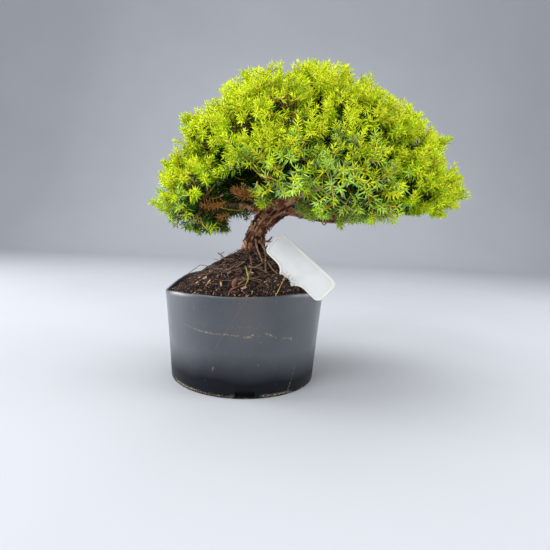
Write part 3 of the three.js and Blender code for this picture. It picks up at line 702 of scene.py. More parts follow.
def value_noise(points, cell, seed):
    """Smooth random numbers from -1 to 1: hashed values on a lattice, blended by eased shares of a cell."""
    scaled = points / cell
    corner = np.floor(scaled).astype(np.int64)
    share = scaled - corner
    ease = share * share * (3 - 2 * share)
    total = np.zeros(points.shape[:-1])
    for step in np.ndindex(2, 2, 2):
        x, y, z = np.moveaxis((corner + step) * HASH_FACTORS, -1, 0)
        mixed = x ^ y ^ z ^ seed * HASH_SEED
        mixed = (mixed ^ mixed >> 13) * HASH_MIX
        value = ((mixed ^ mixed >> 16) & 0xFFFF) / 0xFFFF
        total += value * np.prod(np.where(step, ease, 1 - ease), axis=-1)
    return total * 2 - 1


def loft(grid):
    """Closed skin over rows of rings: quads between neighbouring rings and a fan over each end ring."""
    rows, columns = grid.shape[:2]
    vertices = np.concatenate((grid.reshape(-1, 3), grid[:1].mean(1), grid[-1:].mean(1)))
    row = np.arange(rows - 1)[:, None] * columns
    here = np.arange(columns)
    after = (here + 1) % columns
    quads = np.stack((row + here, row + after, row + columns + after, row + columns + here), -1)
    first, last = rows * columns, rows * columns + 1
    end = (rows - 1) * columns
    start_fan = np.stack((np.full(columns, first), after, here), -1)
    end_fan = np.stack((np.full(columns, last), end + here, end + after), -1)
    return vertices, [quads.reshape(-1, 4), start_fan, end_fan]


def tubes(paths, radii, sides):
    """Tubes along many paths at once: a ring square to the path at each point, and a cap at both ends. There
    is a radius for each point, for each step of all paths, or one in all."""
    count, steps = paths.shape[:2]
    radii = np.broadcast_to(radii, (count, steps))
    ahead = unit(np.gradient(paths, axis=1))
    overall = unit(paths[:, -1] - paths[:, 0])
    guide = np.where(np.abs(overall[:, 2:]) > 0.8, (1.0, 0.0, 0.0), UP)[:, None]
    across = unit(np.cross(ahead, guide))
    over = np.cross(ahead, across)
    ring = swung(across[:, :, None], over[:, :, None], round_angles(sides))
    vertices = paths[:, :, None] + radii[:, :, None, None] * ring
    tube = np.arange(count)[:, None, None] * steps * sides
    step = np.arange(steps - 1)[:, None] * sides
    here = np.arange(sides)
    after = (here + 1) % sides
    low, low_after = tube + step + here, tube + step + after
    quads = np.stack((low, low_after, low_after + sides, low + sides), -1)
    base = tube[:, 0] + here[::-1]
    cap = tube[:, 0] + (steps - 1) * sides + here
    return vertices.reshape(-1, 3), [quads.reshape(-1, 4), base, cap]


def slabs(centres, along, across, sizes, dice):
    """Rough blocks: the eight corners of a box on its own three axes, each corner moved a little."""
    over = np.cross(along, across)
    signs = np.array([(x, y, z) for z in (-1, 1) for y in (-1, 1) for x in (-1, 1)]) / 2
    local = signs * sizes[:, None] * dice.uniform(0.55, 1.2, (len(centres), 8, 3))
    axes = np.stack((along, across, over), 1)
    vertices = centres[:, None] + np.einsum("nij,njk->nik", local, axes)
    faces = np.array(((0, 2, 3, 1), (4, 5, 7, 6), (0, 1, 5, 4), (2, 6, 7, 3), (0, 4, 6, 2), (1, 3, 7, 5)))
    return vertices.reshape(-1, 3), [(np.arange(len(centres))[:, None, None] * 8 + faces).reshape(-1, 4)]


def needle_mesh(roots, ahead, across, lengths, widths):
    """Awl-shaped needles: a root, two edges and a keel a third of the way up, and a tip make six faces."""
    keel = np.cross(ahead, across)
    belly = roots + ahead * (lengths * NEEDLE_BELLY)[:, None]
    half = across * (widths / 2)[:, None]
    corners = (roots, belly - half, belly + half, belly + keel * (widths * NEEDLE_KEEL)[:, None])
    vertices = np.stack((*corners, roots + ahead * lengths[:, None]), 1)
    faces = np.array(((1, 2, 4), (2, 3, 4), (3, 1, 4), (2, 1, 0), (3, 2, 0), (1, 3, 0)))
    return vertices.reshape(-1, 3), [(np.arange(len(roots))[:, None, None] * 5 + faces).reshape(-1, 3)]


def bent_paths(starts, ends, bend, steps):
    """Curves from start to end: (1-t)^2 start + 2t(1-t) control + t^2 end, the control moved by the bend."""
    share = np.linspace(0, 1, steps)[None, :, None]
    control = (starts + ends) / 2 + bend
    starting, turning, ending = (1 - share) ** 2, 2 * share * (1 - share), share**2
    return starts[:, None] * starting + control[:, None] * turning + ends[:, None] * ending


def through(points, steps):
    """A smooth curve through points: each piece runs from p1 to p2 as p1 + t/2 ((p2 - p0)
    + t (2 p0 - 5 p1 + 4 p2 - p3) + t^2 (3 p1 - p0 - 3 p2 + p3)), with the end points doubled."""
    points = np.array(points)
    padded = np.concatenate((points[:1], points, points[-1:]))
    place = np.linspace(0, len(points) - 1, steps)
    piece = np.minimum(place.astype(int), len(points) - 2)
    t = (place - piece)[:, None]
    a, b, c, d = (padded[piece + step] for step in range(4))
    return b + t / 2 * (c - a + t * (2 * a - 5 * b + 4 * c - d + t * (3 * b - a - 3 * c + d)))


def tapered_tube(points, steps, thick, thin, sides):
    """One tube on a smooth curve through points, its radius falling evenly from thick to thin."""
    return tubes(through(points, steps)[None], np.linspace(thick, thin, steps), sides)


def joined(meshes):
    """Several meshes as one: their corner numbers are shifted past those of the meshes before."""
    vertices = np.concatenate([mesh[0] for mesh in meshes])
    shifts = np.cumsum([0] + [len(mesh[0]) for mesh in meshes])
    return vertices, [faces + shift for mesh, shift in zip(meshes, shifts) for faces in mesh[1]]


def add_piece(name, shape, material, replaces=(), smooth=True, values=None):
    """Puts whole arrays into a mesh object that rides with the plant, with one value per vertex if given."""
    vertices, polygons = shape
    corners = np.concatenate([faces.ravel() for faces in polygons])
    sizes = np.concatenate([np.full(len(faces), faces.shape[1]) for faces in polygons])
    mesh = bpy.data.meshes.new(name)
    mesh.vertices.add(len(vertices))
    mesh.vertices.foreach_set("co", np.ascontiguousarray(vertices, np.float32).ravel())
    mesh.loops.add(len(corners))
    mesh.loops.foreach_set("vertex_index", corners.astype(np.int32))
    mesh.polygons.add(len(sizes))
    mesh.polygons.foreach_set("loop_start", (np.cumsum(sizes) - sizes).astype(np.int32))
    mesh.polygons.foreach_set("use_smooth", np.full(len(sizes), smooth))
    if values is not None:
        mesh.attributes.new("relief", "FLOAT", "POINT").data.foreach_set("value", values.astype(np.float32))
    mesh.update(calc_edges=True)
    if mesh.validate():
        raise RuntimeError(f"{name} has faces that don't fit its corners")
    mesh.materials.append(material)
    piece = bpy.data.objects.new(name, mesh)
    bpy.context.scene.collection.objects.link(piece)
    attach(piece, "root")
    if replaces:
        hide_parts(*replaces)
    return piece


def add_node(tree, kind, inputs=None, **settings):
    """Places a node, with its settings, and links or sets the inputs that are named."""
    made = tree.nodes.new(kind)
    for key, value in settings.items():
        setattr(made, key, value)
    for key, value in (inputs or {}).items():
        if isinstance(value, bpy.types.NodeSocket):
            tree.links.new(value, made.inputs[key])
        else:
            made.inputs[key].default_value = value
    return made


def add_mix(tree, share, low, high):
    """The colour that lies a share of the way from low to high."""
    low, high = (value if isinstance(value, bpy.types.NodeSocket) else (*value, 1.0) for value in (low, high))
    return add_node(tree, "ShaderNodeMix", {0: share, 6: low, 7: high}, data_type="RGBA").outputs[2]


def add_range(tree, value, low, high, to_low=0.0, to_high=1.0):
    """A value carried from one range to another, and held inside it."""
    inputs = {"Value": value, "From Min": low, "From Max": high, "To Min": to_low, "To Max": to_high}
    return add_node(tree, "ShaderNodeMapRange", inputs).outputs["Result"]


def add_spread(tree, share, low, high):
    """A share carried to the range from low to high."""
    return add_range(tree, share, 0.0, 1.0, low, high)


def add_math(tree, operation, first, second):
    """A sum, product or other of two values."""
    return add_node(tree, "ShaderNodeMath", {0: first, 1: second}, operation=operation).outputs[0]


def add_product(tree, first, second):
    """The product of two values."""
    return add_math(tree, "MULTIPLY", first, second)


def object_place(tree):
    """The place on the surface in the object's own coordinates."""
    return add_node(tree, "ShaderNodeTexCoord").outputs["Object"]


def relief_value(tree):
    """The relief that a mesh carries for each vertex."""
    return add_node(tree, "ShaderNodeAttribute", attribute_name="relief").outputs["Fac"]


def new_group(name, inputs):
    """An empty shader node group with the named inputs and one output, and its two end nodes."""
    tree = bpy.data.node_groups.new(name, "ShaderNodeTree")
    for label, kind, default in inputs:
        tree.interface.new_socket(label, in_out="INPUT", socket_type=kind).default_value = default
    tree.interface.new_socket("Amount", in_out="OUTPUT", socket_type="NodeSocketFloat")
    return tree, tree.nodes.new("NodeGroupInput"), tree.nodes.new("NodeGroupOutput")


def mottle_group():
    """Patches that drift over a surface: noise of a given scale, spread over 0 to 1."""
    if "Mottle" in bpy.data.node_groups:
        return bpy.data.node_groups["Mottle"]
    inputs = (
        ("Scale", "NodeSocketFloat", 100.0),
        ("Detail", "NodeSocketFloat", 4.0),
        ("Low", "NodeSocketFloat", 0.35),
        ("High", "NodeSocketFloat", 0.65),
    )
    tree, given, result = new_group("Mottle", inputs)
    scale, detail, low, high = given.outputs[:4]
    spots = {"Vector": object_place(tree), "Scale": scale, "Detail": detail}
    noise = add_node(tree, "ShaderNodeTexNoise", spots).outputs["Fac"]
    tree.links.new(add_range(tree, noise, low, high), result.inputs["Amount"])
    return tree


def mark_group():
    """A broken streak between two points: it fades with the distance from the line that joins them."""
    if "Mark" in bpy.data.node_groups:
        return bpy.data.node_groups["Mark"]
    inputs = (
        ("Place", "NodeSocketVector", (0.0, 0.0, 0.0)),
        ("From", "NodeSocketVector", (0.0, 0.0, 0.0)),
        ("To", "NodeSocketVector", (0.0, 0.0, 0.01)),
        ("Width", "NodeSocketFloat", 0.0005),
        ("Grain", "NodeSocketFloat", 900.0),
        ("Breaks", "NodeSocketFloat", 0.45),
    )
    tree, given, result = new_group("Mark", inputs)
    place, start, end, width, grain, missing = given.outputs[:6]

    def vector(operation, first, second, output=0):
        made = add_node(tree, "ShaderNodeVectorMath", {0: first, 1: second}, operation=operation)
        return made.outputs[output]

    line = vector("SUBTRACT", end, start)
    offset = vector("SUBTRACT", place, start)
    along = vector("DOT_PRODUCT", offset, line, "Value")
    square = vector("DOT_PRODUCT", line, line, "Value")
    share = add_range(tree, add_math(tree, "DIVIDE", along, square), 0.0, 1.0)
    nearest = add_node(tree, "ShaderNodeVectorMath", {0: line, "Scale": share}, operation="SCALE").outputs[0]
    distance = vector("DISTANCE", offset, nearest, "Value")
    near = add_range(tree, distance, width, 0.0)
    noise = add_node(tree, "ShaderNodeTexNoise", {"Vector": place, "Scale": grain, "Detail": 3.0})
    left = add_range(tree, add_math(tree, "SUBTRACT", noise.outputs["Fac"], missing), 0.0, 0.12)
    tree.links.new(add_product(tree, near, left), result.inputs["Amount"])
    return tree


def add_mottle(tree, scale, detail=4.0, low=0.35, high=0.65):
    """The patches group with its own values in a material."""
    inputs = {"Scale": scale, "Detail": detail, "Low": low, "High": high}
    return add_node(tree, "ShaderNodeGroup", inputs, node_tree=mottle_group()).outputs["Amount"]


def add_mark(tree, place, start, end, width, grain, breaks):
    """The streak group with its own values in a material."""
    inputs = {"Place": place, "From": start, "To": end, "Width": width, "Grain": grain, "Breaks": breaks}
    return add_node(tree, "ShaderNodeGroup", inputs, node_tree=mark_group()).outputs["Amount"]


def new_material(name, roughness, specular):
    """A material with its tree and Principled shader."""
    material = bpy.data.materials.new(name)
    material.use_nodes = True
    shader = material.node_tree.nodes["Principled BSDF"]
    shader.inputs["Roughness"].default_value = roughness
    shader.inputs["Specular IOR Level"].default_value = specular
    return material, material.node_tree, shader


def add_bump(tree, shader, height, strength, distance):
    """Fine relief in the surface's normal."""
    bump = add_node(tree, "ShaderNodeBump", {"Height": height, "Strength": strength, "Distance": distance})
    tree.links.new(bump.outputs["Normal"], shader.inputs["Normal"])


def pot_material(settings):
    """Satin plastic: faded in patches, dark at its foot as a painted reflection and dusty there, with painted
    shade inside the slots, dried dirt and a few scratches.
    """
    material, tree, shader = new_material("pot_plastic", roughness=0.4, specular=0.09)
    place = object_place(tree)
    x, y, height = add_node(tree, "ShaderNodeSeparateXYZ", {0: place}).outputs
    arc = add_product(tree, add_math(tree, "ARCTAN2", y, x), POT_BASE_RADIUS)
    wrapped = add_node(tree, "ShaderNodeCombineXYZ", {0: arc, 1: height}).outputs[0]
    patches = add_mottle(tree, scale=32.0, detail=5.0, low=0.3, high=0.7)
    uneven = add_math(tree, "ADD", height, add_product(tree, patches, 0.003))
    # Below these heights the wall keeps the dark plastic colour: painted reflection at the foot
    raised = add_range(tree, uneven, *PAINTED_DARK_FOOT)
    faded_above_painted_foot = add_product(tree, raised, add_spread(tree, patches, 0.7, 1.0))
    colour = add_mix(tree, faded_above_painted_foot, settings.plastic, settings.faded)
    specks = add_mottle(tree, scale=620.0, detail=2.0, low=0.71, high=0.77)
    splashes = add_mottle(tree, scale=260.0, detail=4.0, low=0.5, high=0.62)
    foot = add_product(tree, add_range(tree, height, DUST_TOP, POT_HEEL, 0.0, 0.35), splashes)
    dirt = add_math(tree, "MAXIMUM", foot, add_product(tree, specks, 0.5))
    for *ends, width, breaks, strength in POT_MARKS:
        start, end = ((math.radians(turn) * POT_BASE_RADIUS, level, 0.0) for turn, level in ends)
        mark = add_mark(tree, wrapped, start, end, width, 800.0, breaks)
        dirt = add_math(tree, "MAXIMUM", dirt, add_product(tree, mark, strength))
    stain = add_mark(tree, wrapped, *STAIN_ENDS, width=0.016, grain=60.0, breaks=0.3)
    colour = add_mix(tree, add_product(tree, stain, 0.32), colour, settings.stain)
    # Painted shade inside the pot low down, in and behind the slots, where the dust is left out
    square = add_math(tree, "ADD", add_product(tree, x, x), add_product(tree, y, y))
    reach = add_math(tree, "SQRT", square, 0.0)
    low = add_range(tree, height, *SLOT_SHADE_HEIGHTS)
    in_slot_shade = add_product(tree, add_range(tree, reach, *SLOT_SHADE_RADII), low)
    dirt = add_math(tree, "SUBTRACT", dirt, in_slot_shade)
    colour = add_mix(tree, add_spread(tree, dirt, 0.0, 0.8), colour, settings.dust)
    colour = add_mix(tree, in_slot_shade, colour, SLOT_SHADE)
    tree.links.new(colour, shader.inputs["Base Color"])
    sheen = add_product(tree, raised, add_spread(tree, dirt, 1.0, 0.2))
    tree.links.new(sheen, shader.inputs["Coat Weight"])
    shader.inputs["Coat Roughness"].default_value = 0.39
    shader.inputs["Coat IOR"].default_value = 1.62
    rough = add_spread(tree, add_mottle(tree, scale=80.0, detail=5.0), 0.33, 0.45)
    rough = add_math(tree, "ADD", rough, add_spread(tree, dirt, 0.0, 0.4))
    tree.links.new(rough, shader.inputs["Roughness"])
    add_bump(tree, shader, add_mottle(tree, scale=900.0, detail=3.0), strength=0.1, distance=0.0003)
    return material


def relief_material(name, low, high, patch, patch_scale, grain, depth):
    """Rough matter coloured by its own relief: dark in the hollows, which is painted shade, with patches of a
    third colour on top.
    """
    material, tree, shader = new_material(name, roughness=0.85, specular=0.25)
    relief = relief_value(tree)
    fine = add_mottle(tree, grain, detail=5.0)
    height = add_math(tree, "ADD", relief, add_spread(tree, fine, -0.16, 0.16))
    colour = add_mix(tree, add_range(tree, height, 0.33, 0.92), low, high)
    spots = add_mottle(tree, patch_scale, detail=4.0, low=0.52, high=0.62)
    patches = add_product(tree, spots, add_range(tree, relief, 0.4, 0.7))
    tree.links.new(add_mix(tree, patches, colour, patch), shader.inputs["Base Color"])
    add_bump(tree, shader, fine, strength=0.5, distance=depth)
    return material


def plain_material(name, colour, drift, scale, roughness=0.6, specular=0.35):
    """A base colour that drifts a little towards a lighter and a darker tone."""
    material, tree, shader = new_material(name, roughness, specular)
    dark = [value * (1 - drift) for value in colour]
    light = [min(value * (1 + drift), 1.0) for value in colour]
    tree.links.new(add_mix(tree, add_mottle(tree, scale), dark, light), shader.inputs["Base Color"])
    rough = add_spread(tree, add_mottle(tree, scale * 3), roughness - 0.08, roughness + 0.08)
    tree.links.new(rough, shader.inputs["Roughness"])
    return material


def label_material(settings):
    """White plastic with soil smeared above the stem and light scuffs."""
    material, tree, shader = new_material("label_plastic", roughness=0.38, specular=0.5)
    smear = add_mark(tree, object_place(tree), *LABEL_SMEAR, width=0.0055, grain=700.0, breaks=0.48)
    tint = add_spread(tree, add_mottle(tree, scale=60.0, detail=5.0), 0.0, 0.06)
    colour = add_mix(tree, relief_value(tree), settings.plastic, settings.edge)
    colour = add_mix(tree, add_math(tree, "MAXIMUM", smear, tint), colour, settings.smudge)
    tree.links.new(colour, shader.inputs["Base Color"])
    rough = add_spread(tree, add_mottle(tree, scale=220.0, detail=5.0), 0.3, 0.46)
    tree.links.new(rough, shader.inputs["Roughness"])
    add_bump(tree, shader, add_mottle(tree, scale=700.0, detail=3.0), strength=0.05, distance=0.0002)
    return material


def rim_radius(angle):
    """Radius of the cut rim: the rounded square |x/a|^n + |y/b|^n = 1 at an angle."""
    across = np.abs(np.cos(angle)) / POT_RIM_HALF_WIDTH
    along = np.abs(np.sin(angle)) / POT_RIM_HALF_DEPTH
    return (across**POT_RIM_SQUARENESS + along**POT_RIM_SQUARENESS) ** (-1 / POT_RIM_SQUARENESS)


def rim_height(angle):
    """Height of the hand-cut rim: a level plus waves h cos(k angle - phase), each going k times round."""
    waves = [height * np.cos(count * angle - math.radians(phase)) for count, height, phase in POT_RIM_WAVES]
    return POT_RIM_HEIGHT + sum(waves)


def pot_place(angle, height, radius):
    """A point of the round pot carried to the squeezed one: the round base blends to the rim as it climbs."""
    share = np.clip(height / POT_RIM_HEIGHT, 0, 1)
    wide = radius * blend(1, rim_radius(angle) / POT_BASE_RADIUS, share)
    lift = height * blend(1, rim_height(angle) / POT_RIM_HEIGHT, share)
    return round_axis(wide, angle, lift)


def soil_place(radius, angle):
    """The mound: radius and height blend from the pot's edge to a round top under the trunk's foot, with a
    bank against the left wall and a heap of height h (1 - d^2)^2 round the label's stem, d being the distance
    over the heap's radius."""
    out = ramp(radius, MOUND_TOP_RADIUS, SOIL_RADIUS - MOUND_TOP_RADIUS)
    climb = 1 - out**MOUND_CURVE
    edge = pot_place(angle, SOIL_EDGE_HEIGHT, radius)
    inner = round_axis(radius, angle, MOUND_TOP) + (TRUNK_FOOT[0], 0.0, 0.0)
    place = blend(edge, inner, climb[..., None])
    place[..., 2] += BANK_HEIGHT * np.clip(np.cos(angle - BANK_SIDE), 0, 1) * (1 - climb) ** 2
    apart = np.linalg.norm(place[..., :2] - HEAP_CENTRE, axis=-1) / HEAP_RADIUS
    place[..., 2] += HEAP_HEIGHT * np.clip(1 - apart**2, 0, 1) ** 2
    return place


def soil_axes(radius, angle):
    """Directions out, round and up on the mound, from small steps along it."""
    step, sweep = 0.0005, 0.01
    out = unit(soil_place(radius + step, angle) - soil_place(radius - step, angle))
    turn = unit(soil_place(radius, angle + sweep) - soil_place(radius, angle - sweep))
    return out, turn, np.cross(out, turn)


def mound_relief(points):
    """Lumps of three sizes in the mound, added up by their shares, from about -1 to 1."""
    return sum(share * value_noise(points, size, seed) for size, seed, share in LUMPS)


class BONSAI_OT_pot(bpy.types.Operator):
    """Builds the thin pot with its cut rim and drain slots"""

    bl_idname = "bonsai.pot"
    bl_label = "Pot"

    def execute(self, context):
        settings = context.scene.bonsai.pot
        inner = POT_BASE_RADIUS - settings.wall
        profile, low = self.wall_profile(inner, settings.wall * 0.3)
        radius, height = profile[:, :1], profile[:, 1:]
        angle = (SLOT_TURN + round_angles(POT_COLUMNS))[None]
        climb = height / POT_RIM_HEIGHT
        around = round_axis(RIPPLE_CIRCLE, angle, 0.0)
        ripple = settings.ripple * climb**2 * value_noise(around, RIPPLE_SIZE, 11)
        notches = value_noise(around, NOTCH_SIZE, 13) + 0.4 * value_noise(around, NICK_SIZE, 17)
        grid = pot_place(angle + 0 * height, height + 0 * angle, radius + ripple * (radius > inner / 2))
        grid[..., 2] += settings.ripple * climb**6 * notches
        shape = self.cut_slots(loft(grid), angle[0], inner, low, len(profile) - 3)
        add_piece("pot_shell", shape, pot_material(settings), ("pot",))
        return {"FINISHED"}

    def wall_profile(self, inner, lip):
        """Radius and height from the middle of the underside round a quarter-circle heel, up the outer wall,
        over the lip and down the inner wall to the middle of the floor, and the row where the slots start."""
        outer = POT_BASE_RADIUS
        bend = np.linspace(0, math.pi / 2, 5)
        heel = [(outer - POT_HEEL * (1 - math.sin(turn)), POT_HEEL * (1 - math.cos(turn))) for turn in bend]
        rows_up = (SLOT_TOP, *np.linspace(WALL_FOOT, POT_RIM_HEIGHT - lip, 24))
        rim = [(outer - lip, POT_RIM_HEIGHT), (inner + lip, POT_RIM_HEIGHT)]
        rows_down = (*np.linspace(POT_RIM_HEIGHT - lip, WALL_FOOT, 16), SLOT_TOP, POT_FLOOR)
        rising = [(outer, height) for height in rows_up]
        falling = [(inner, height) for height in rows_down]
        rows = ((HUB_RADIUS, 0.0), *heel, *rising, *rim, *falling, (HUB_RADIUS, POT_FLOOR))
        return np.array(rows), len(heel)

    def cut_slots(self, shape, angle, inner, low, high):
        """Opens the outer wall over row low and the inner one over row high at each slot, and lines the cut
        with a sill, a back, a head and two jambs."""
        vertices, (walls, *fans) = shape
        columns, spacing, width = len(angle), len(angle) // SLOT_COUNT, 2 * SLOT_HALF_COLUMNS
        row, column = np.divmod(np.arange(len(walls)), columns)
        cut = ((column + SLOT_HALF_COLUMNS) % spacing < width) & ((row == low) | (row == high))
        here = np.arange(columns)
        after = (here + 1) % columns
        edge = (here + SLOT_HALF_COLUMNS) % spacing
        step = len(vertices) + here
        ledge = pot_place(angle, POT_HEEL, inner)
        outer_low, outer_high, inner_high, inner_low = np.array((low, low + 1, high, high + 1)) * columns
        sill = np.stack((outer_low + here, outer_low + after, step[after], step), -1)
        back = np.stack((step, step[after], inner_low + after, inner_low + here), -1)
        head = np.stack((outer_high + after, outer_high + here, inner_high + here, inner_high + after), -1)
        jamb = np.stack((outer_low + here, step, inner_low + here, inner_high + here, outer_high + here), -1)
        lining = [faces[edge < width] for faces in (sill, back, head)]
        jambs = [jamb[edge == 0], jamb[edge == width][:, ::-1]]
        return np.concatenate((vertices, ledge)), [walls[~cut], *lining, *jambs, *fans]


class BONSAI_OT_soil(bpy.types.Operator):
    """Builds the mound of soil"""

    bl_idname = "bonsai.soil"
    bl_label = "Soil"

    def execute(self, context):
        settings = context.scene.bonsai.soil
        angle = round_angles(SOIL_COLUMNS)[None]
        bottom = POT_FLOOR + MASS_GAP
        walls = [(height, SOIL_RADIUS) for height in (bottom, *SOIL_SIDE_HEIGHTS)]
        sides = [pot_place(angle, height, radius) for height, radius in ((bottom, HUB_RADIUS), *walls)]
        radius = np.linspace(SOIL_RADIUS, SOIL_TIP_RADIUS, SOIL_ROWS)[:, None]
        mound = soil_place(radius + 0 * angle, angle + 0 * radius)
        relief = mound_relief(mound)
        settled = ramp(radius, SOIL_RADIUS, -SOIL_SETTLE)
        mound[..., 2] += settings.relief * relief * blend(0.4, 1.0, settled)
        grid = np.concatenate((*sides, mound))
        buried = np.zeros((len(sides), SOIL_COLUMNS))
        values = np.append(np.concatenate((buried, relief * 0.5 + 0.5)), (0.0, 0.5))
        # The soil's hollows take a darker copy of the earth: painted shade
        shaded = [value * 0.3 for value in settings.earth]
        earth = relief_material(
            "soil", shaded, settings.earth, settings.chip_dark, patch_scale=420.0, grain=1400.0, depth=0.0006
        )
        add_piece("soil_mound", loft(grid), earth, ("soil",), values=values)
        return {"FINISHED"}


class BONSAI_OT_litter(bpy.types.Operator):
    """Strews bark chips, fine roots and small litter over the mound"""

    bl_idname = "bonsai.litter"
    bl_label = "Litter"

    def execute(self, context):
        settings = context.scene.bonsai.soil
        dice = np.random.default_rng(41)
        colours = (settings.chip_dark, settings.chip_red, settings.chip_tan, settings.grit, settings.moss)
        for (name, share, scale, spread), colour in zip(CHIP_KINDS, colours):
            self.strew(settings, name, int(settings.chips * share), colour, scale, spread, dice)
        self.add_splinters(settings, dice)
        self.spread_roots(settings, dice)
        self.add_sprout(settings)
        return {"FINISHED"}

    def strew(self, settings, name, count, colour, scale, spread, dice):
        """Chips at random on the mound, turned and tilted at random and half sunk, spread outwards by a power
        of chance. The smallest kinds are grains."""
        radius = dice.uniform(*CHIP_REACH, count) ** spread * SOIL_RADIUS
        angle = dice.uniform(0, FULL_TURN, count)
        out, turn, up = soil_axes(radius, angle)
        yaw = dice.uniform(0, FULL_TURN, count)
        tilt = dice.normal(0, CHIP_TILT, count)
        along = unit(swung(swung(out, turn, yaw), up, tilt))
        across = unit(np.cross(up, along))
        sizes = np.stack([dice.uniform(*limits, count) for limits in CHIP_SIZES], -1) * scale
        if scale < GRAIN_SCALE:
            sizes = dice.uniform(0.6, 1.1, (count, 3)) * GRAIN_SIZE
        places = soil_place(radius, angle)
        lumps = mound_relief(places)[:, None] * settings.relief
        shape = slabs(places + UP * lumps + up * CHIP_RISE, along, across, sizes, dice)
        matter = plain_material(name, colour, drift=0.45, scale=240.0, roughness=0.8, specular=0.25)
        add_piece(name, shape, matter, smooth=False)

    def add_splinters(self, settings, dice):
        """Larger splinters at their own places, flat on the slope and turned at random."""
        count = len(SPLINTERS)
        out = SPLINTERS[:, :2] - TRUNK_FOOT[:2]
        up = unit(np.column_stack((out, np.full(count, MOUND_STEEPNESS))))
        along = unit(np.cross(up, dice.normal(size=(count, 3))))
        sizes = dice.uniform(*SPLINTER_SIZES, (count, 3))
        shape = slabs(SPLINTERS + up * SPLINTER_RISE, along, np.cross(up, along), sizes, dice)
        wood = plain_material("splinter", settings.chip_tan, drift=0.35, scale=300.0, roughness=0.8)
        add_piece("splinters", shape, wood, smooth=False)

    def spread_roots(self, settings, dice):
        """Fine roots that wander down the mound from the trunk's foot, whiskers that stand off it, and the
        thicker roots that show at the front."""
        count, share = settings.rootlets, np.linspace(0, 1, ROOTLET_STEPS)[None]
        start = dice.uniform(*ROOTLET_START, (count, 1))
        radius = start + dice.uniform(*ROOTLET_RUN, (count, 1)) * share
        wander = np.cumsum(dice.normal(0, 0.1, (count, ROOTLET_STEPS)), axis=1)
        angle = dice.uniform(0, FULL_TURN, (count, 1)) + dice.normal(0, 0.55, (count, 1)) * share + wander
        hop = dice.uniform(*ROOTLET_HOP, (count, 1)) * np.sin(math.pi * share)
        hop = hop + ROOTLET_FALL / 2 * (1 - 2 * share)
        paths = soil_place(radius, angle) + UP * hop[..., None]
        thick = dice.uniform(*ROOTLET_RADII, (count, 1)) * (1 - 0.6 * share)
        shaded = plain_material("root_dark", settings.chip_dark, drift=0.5, scale=300.0, roughness=0.8)
        add_piece("rootlets_dark", tubes(paths[1::2], thick[1::2], 5), shaded)
        front = [tapered_tube(points, 16, girth, girth * 0.65, 7) for girth, points in ROOT_PATHS]
        meshes = [tubes(paths[::2], thick[::2], 5), self.whiskers(WHISKERS, dice), *front]
        pale = plain_material("root", settings.root, drift=0.5, scale=300.0, roughness=0.75)
        add_piece("rootlets", joined(meshes), pale)

    def whiskers(self, count, dice):
        """Short bent roots that stand off the mound at random places."""
        radius = dice.uniform(*WHISKER_START, count)
        angle = dice.uniform(0, FULL_TURN, count)
        out, turn, up = soil_axes(radius, angle)
        root = soil_place(radius, angle) - up * WHISKER_SINK
        reach = dice.uniform(*WHISKER_LENGTH, (count, 1))
        rise = up * dice.uniform(0.2, 0.9, (count, 1))
        way = unit(out * 0.6 + rise + turn * dice.normal(0, 0.8, (count, 1)))
        bend = (up * 0.3 + turn * dice.normal(0, 0.3, (count, 1))) * reach
        return tubes(bent_paths(root, root + way * reach, bend, 6), WHISKER_RADIUS, 4)

    def add_sprout(self, settings):
        """A seedling with a curled pale green stem and its runner, a dry leaf and a straw, on smooth curves.
        The leaf is a tube of half width w sin(pi t), pressed flat."""
        green = plain_material("sprout", settings.sprout, drift=0.3, scale=200.0, roughness=0.45)
        add_piece("sprout", tapered_tube(SPROUT_PATH, 14, *SPROUT_RADII, 8), green)
        steps, sides = 12, 8
        middle = through(LEAF_PATH, steps)
        width = np.sin(math.pi * np.linspace(0.04, 0.97, steps)) * LEAF_HALF_WIDTH
        vertices, faces = tubes(middle[None], width, sides)
        centre = np.repeat(middle, sides, axis=0)
        leaf = (centre + (vertices - centre) * LEAF_FLATNESS, faces)
        runner = tapered_tube(RUNNER_PATH, 18, *RUNNER_RADII, 6)
        brown = plain_material("dry_leaf", settings.dry_leaf, drift=0.35, scale=260.0, roughness=0.6)
        add_piece("dry_leaf", joined([runner, leaf]), brown)
        pale = plain_material("straw", settings.straw, drift=0.3, scale=300.0, roughness=0.6)
        add_piece("straw", tapered_tube(STRAW_PATH, 8, *STRAW_RADII, 6), pale)


def label_outline(inset):
    """Outline of the T-shaped plate, moved inwards: straight edges, round corners and hollow fillets."""
    half, top = LABEL_LENGTH / 2 - inset, LABEL_WIDTH / 2 - inset
    stem, fillet = LABEL_STEM_WIDTH / 2 - inset, LABEL_FILLET + inset
    corner = max(LABEL_CORNER - inset, LABEL_LEAST_CORNER)
    foot = -LABEL_WIDTH / 2 - LABEL_STEM_LENGTH + LABEL_POINT_INSET * inset
    turn = np.linspace(0, math.pi / 2, 9)

    def arc(x, y, radius, start, sweep):
        angle = start + sweep * turn
        return np.stack((x + radius * np.cos(angle), y + radius * np.sin(angle)), -1)

    side, low = half - corner, -top + corner
    centre = stem + fillet
    return np.concatenate((
        arc(side, top - corner, corner, math.pi / 2, -1),
        arc(side, low, corner, 0, -1),
        arc(centre, -top - fillet, fillet, math.pi / 2, 1),
        ((stem, foot + LABEL_POINT), (0.0, foot), (-stem, foot + LABEL_POINT)),
        arc(-centre, -top - fillet, fillet, 0, 1),
        arc(-side, low, corner, -math.pi / 2, -1),
        arc(-side, top - corner, corner, math.pi, -1),
    ))[::-1]


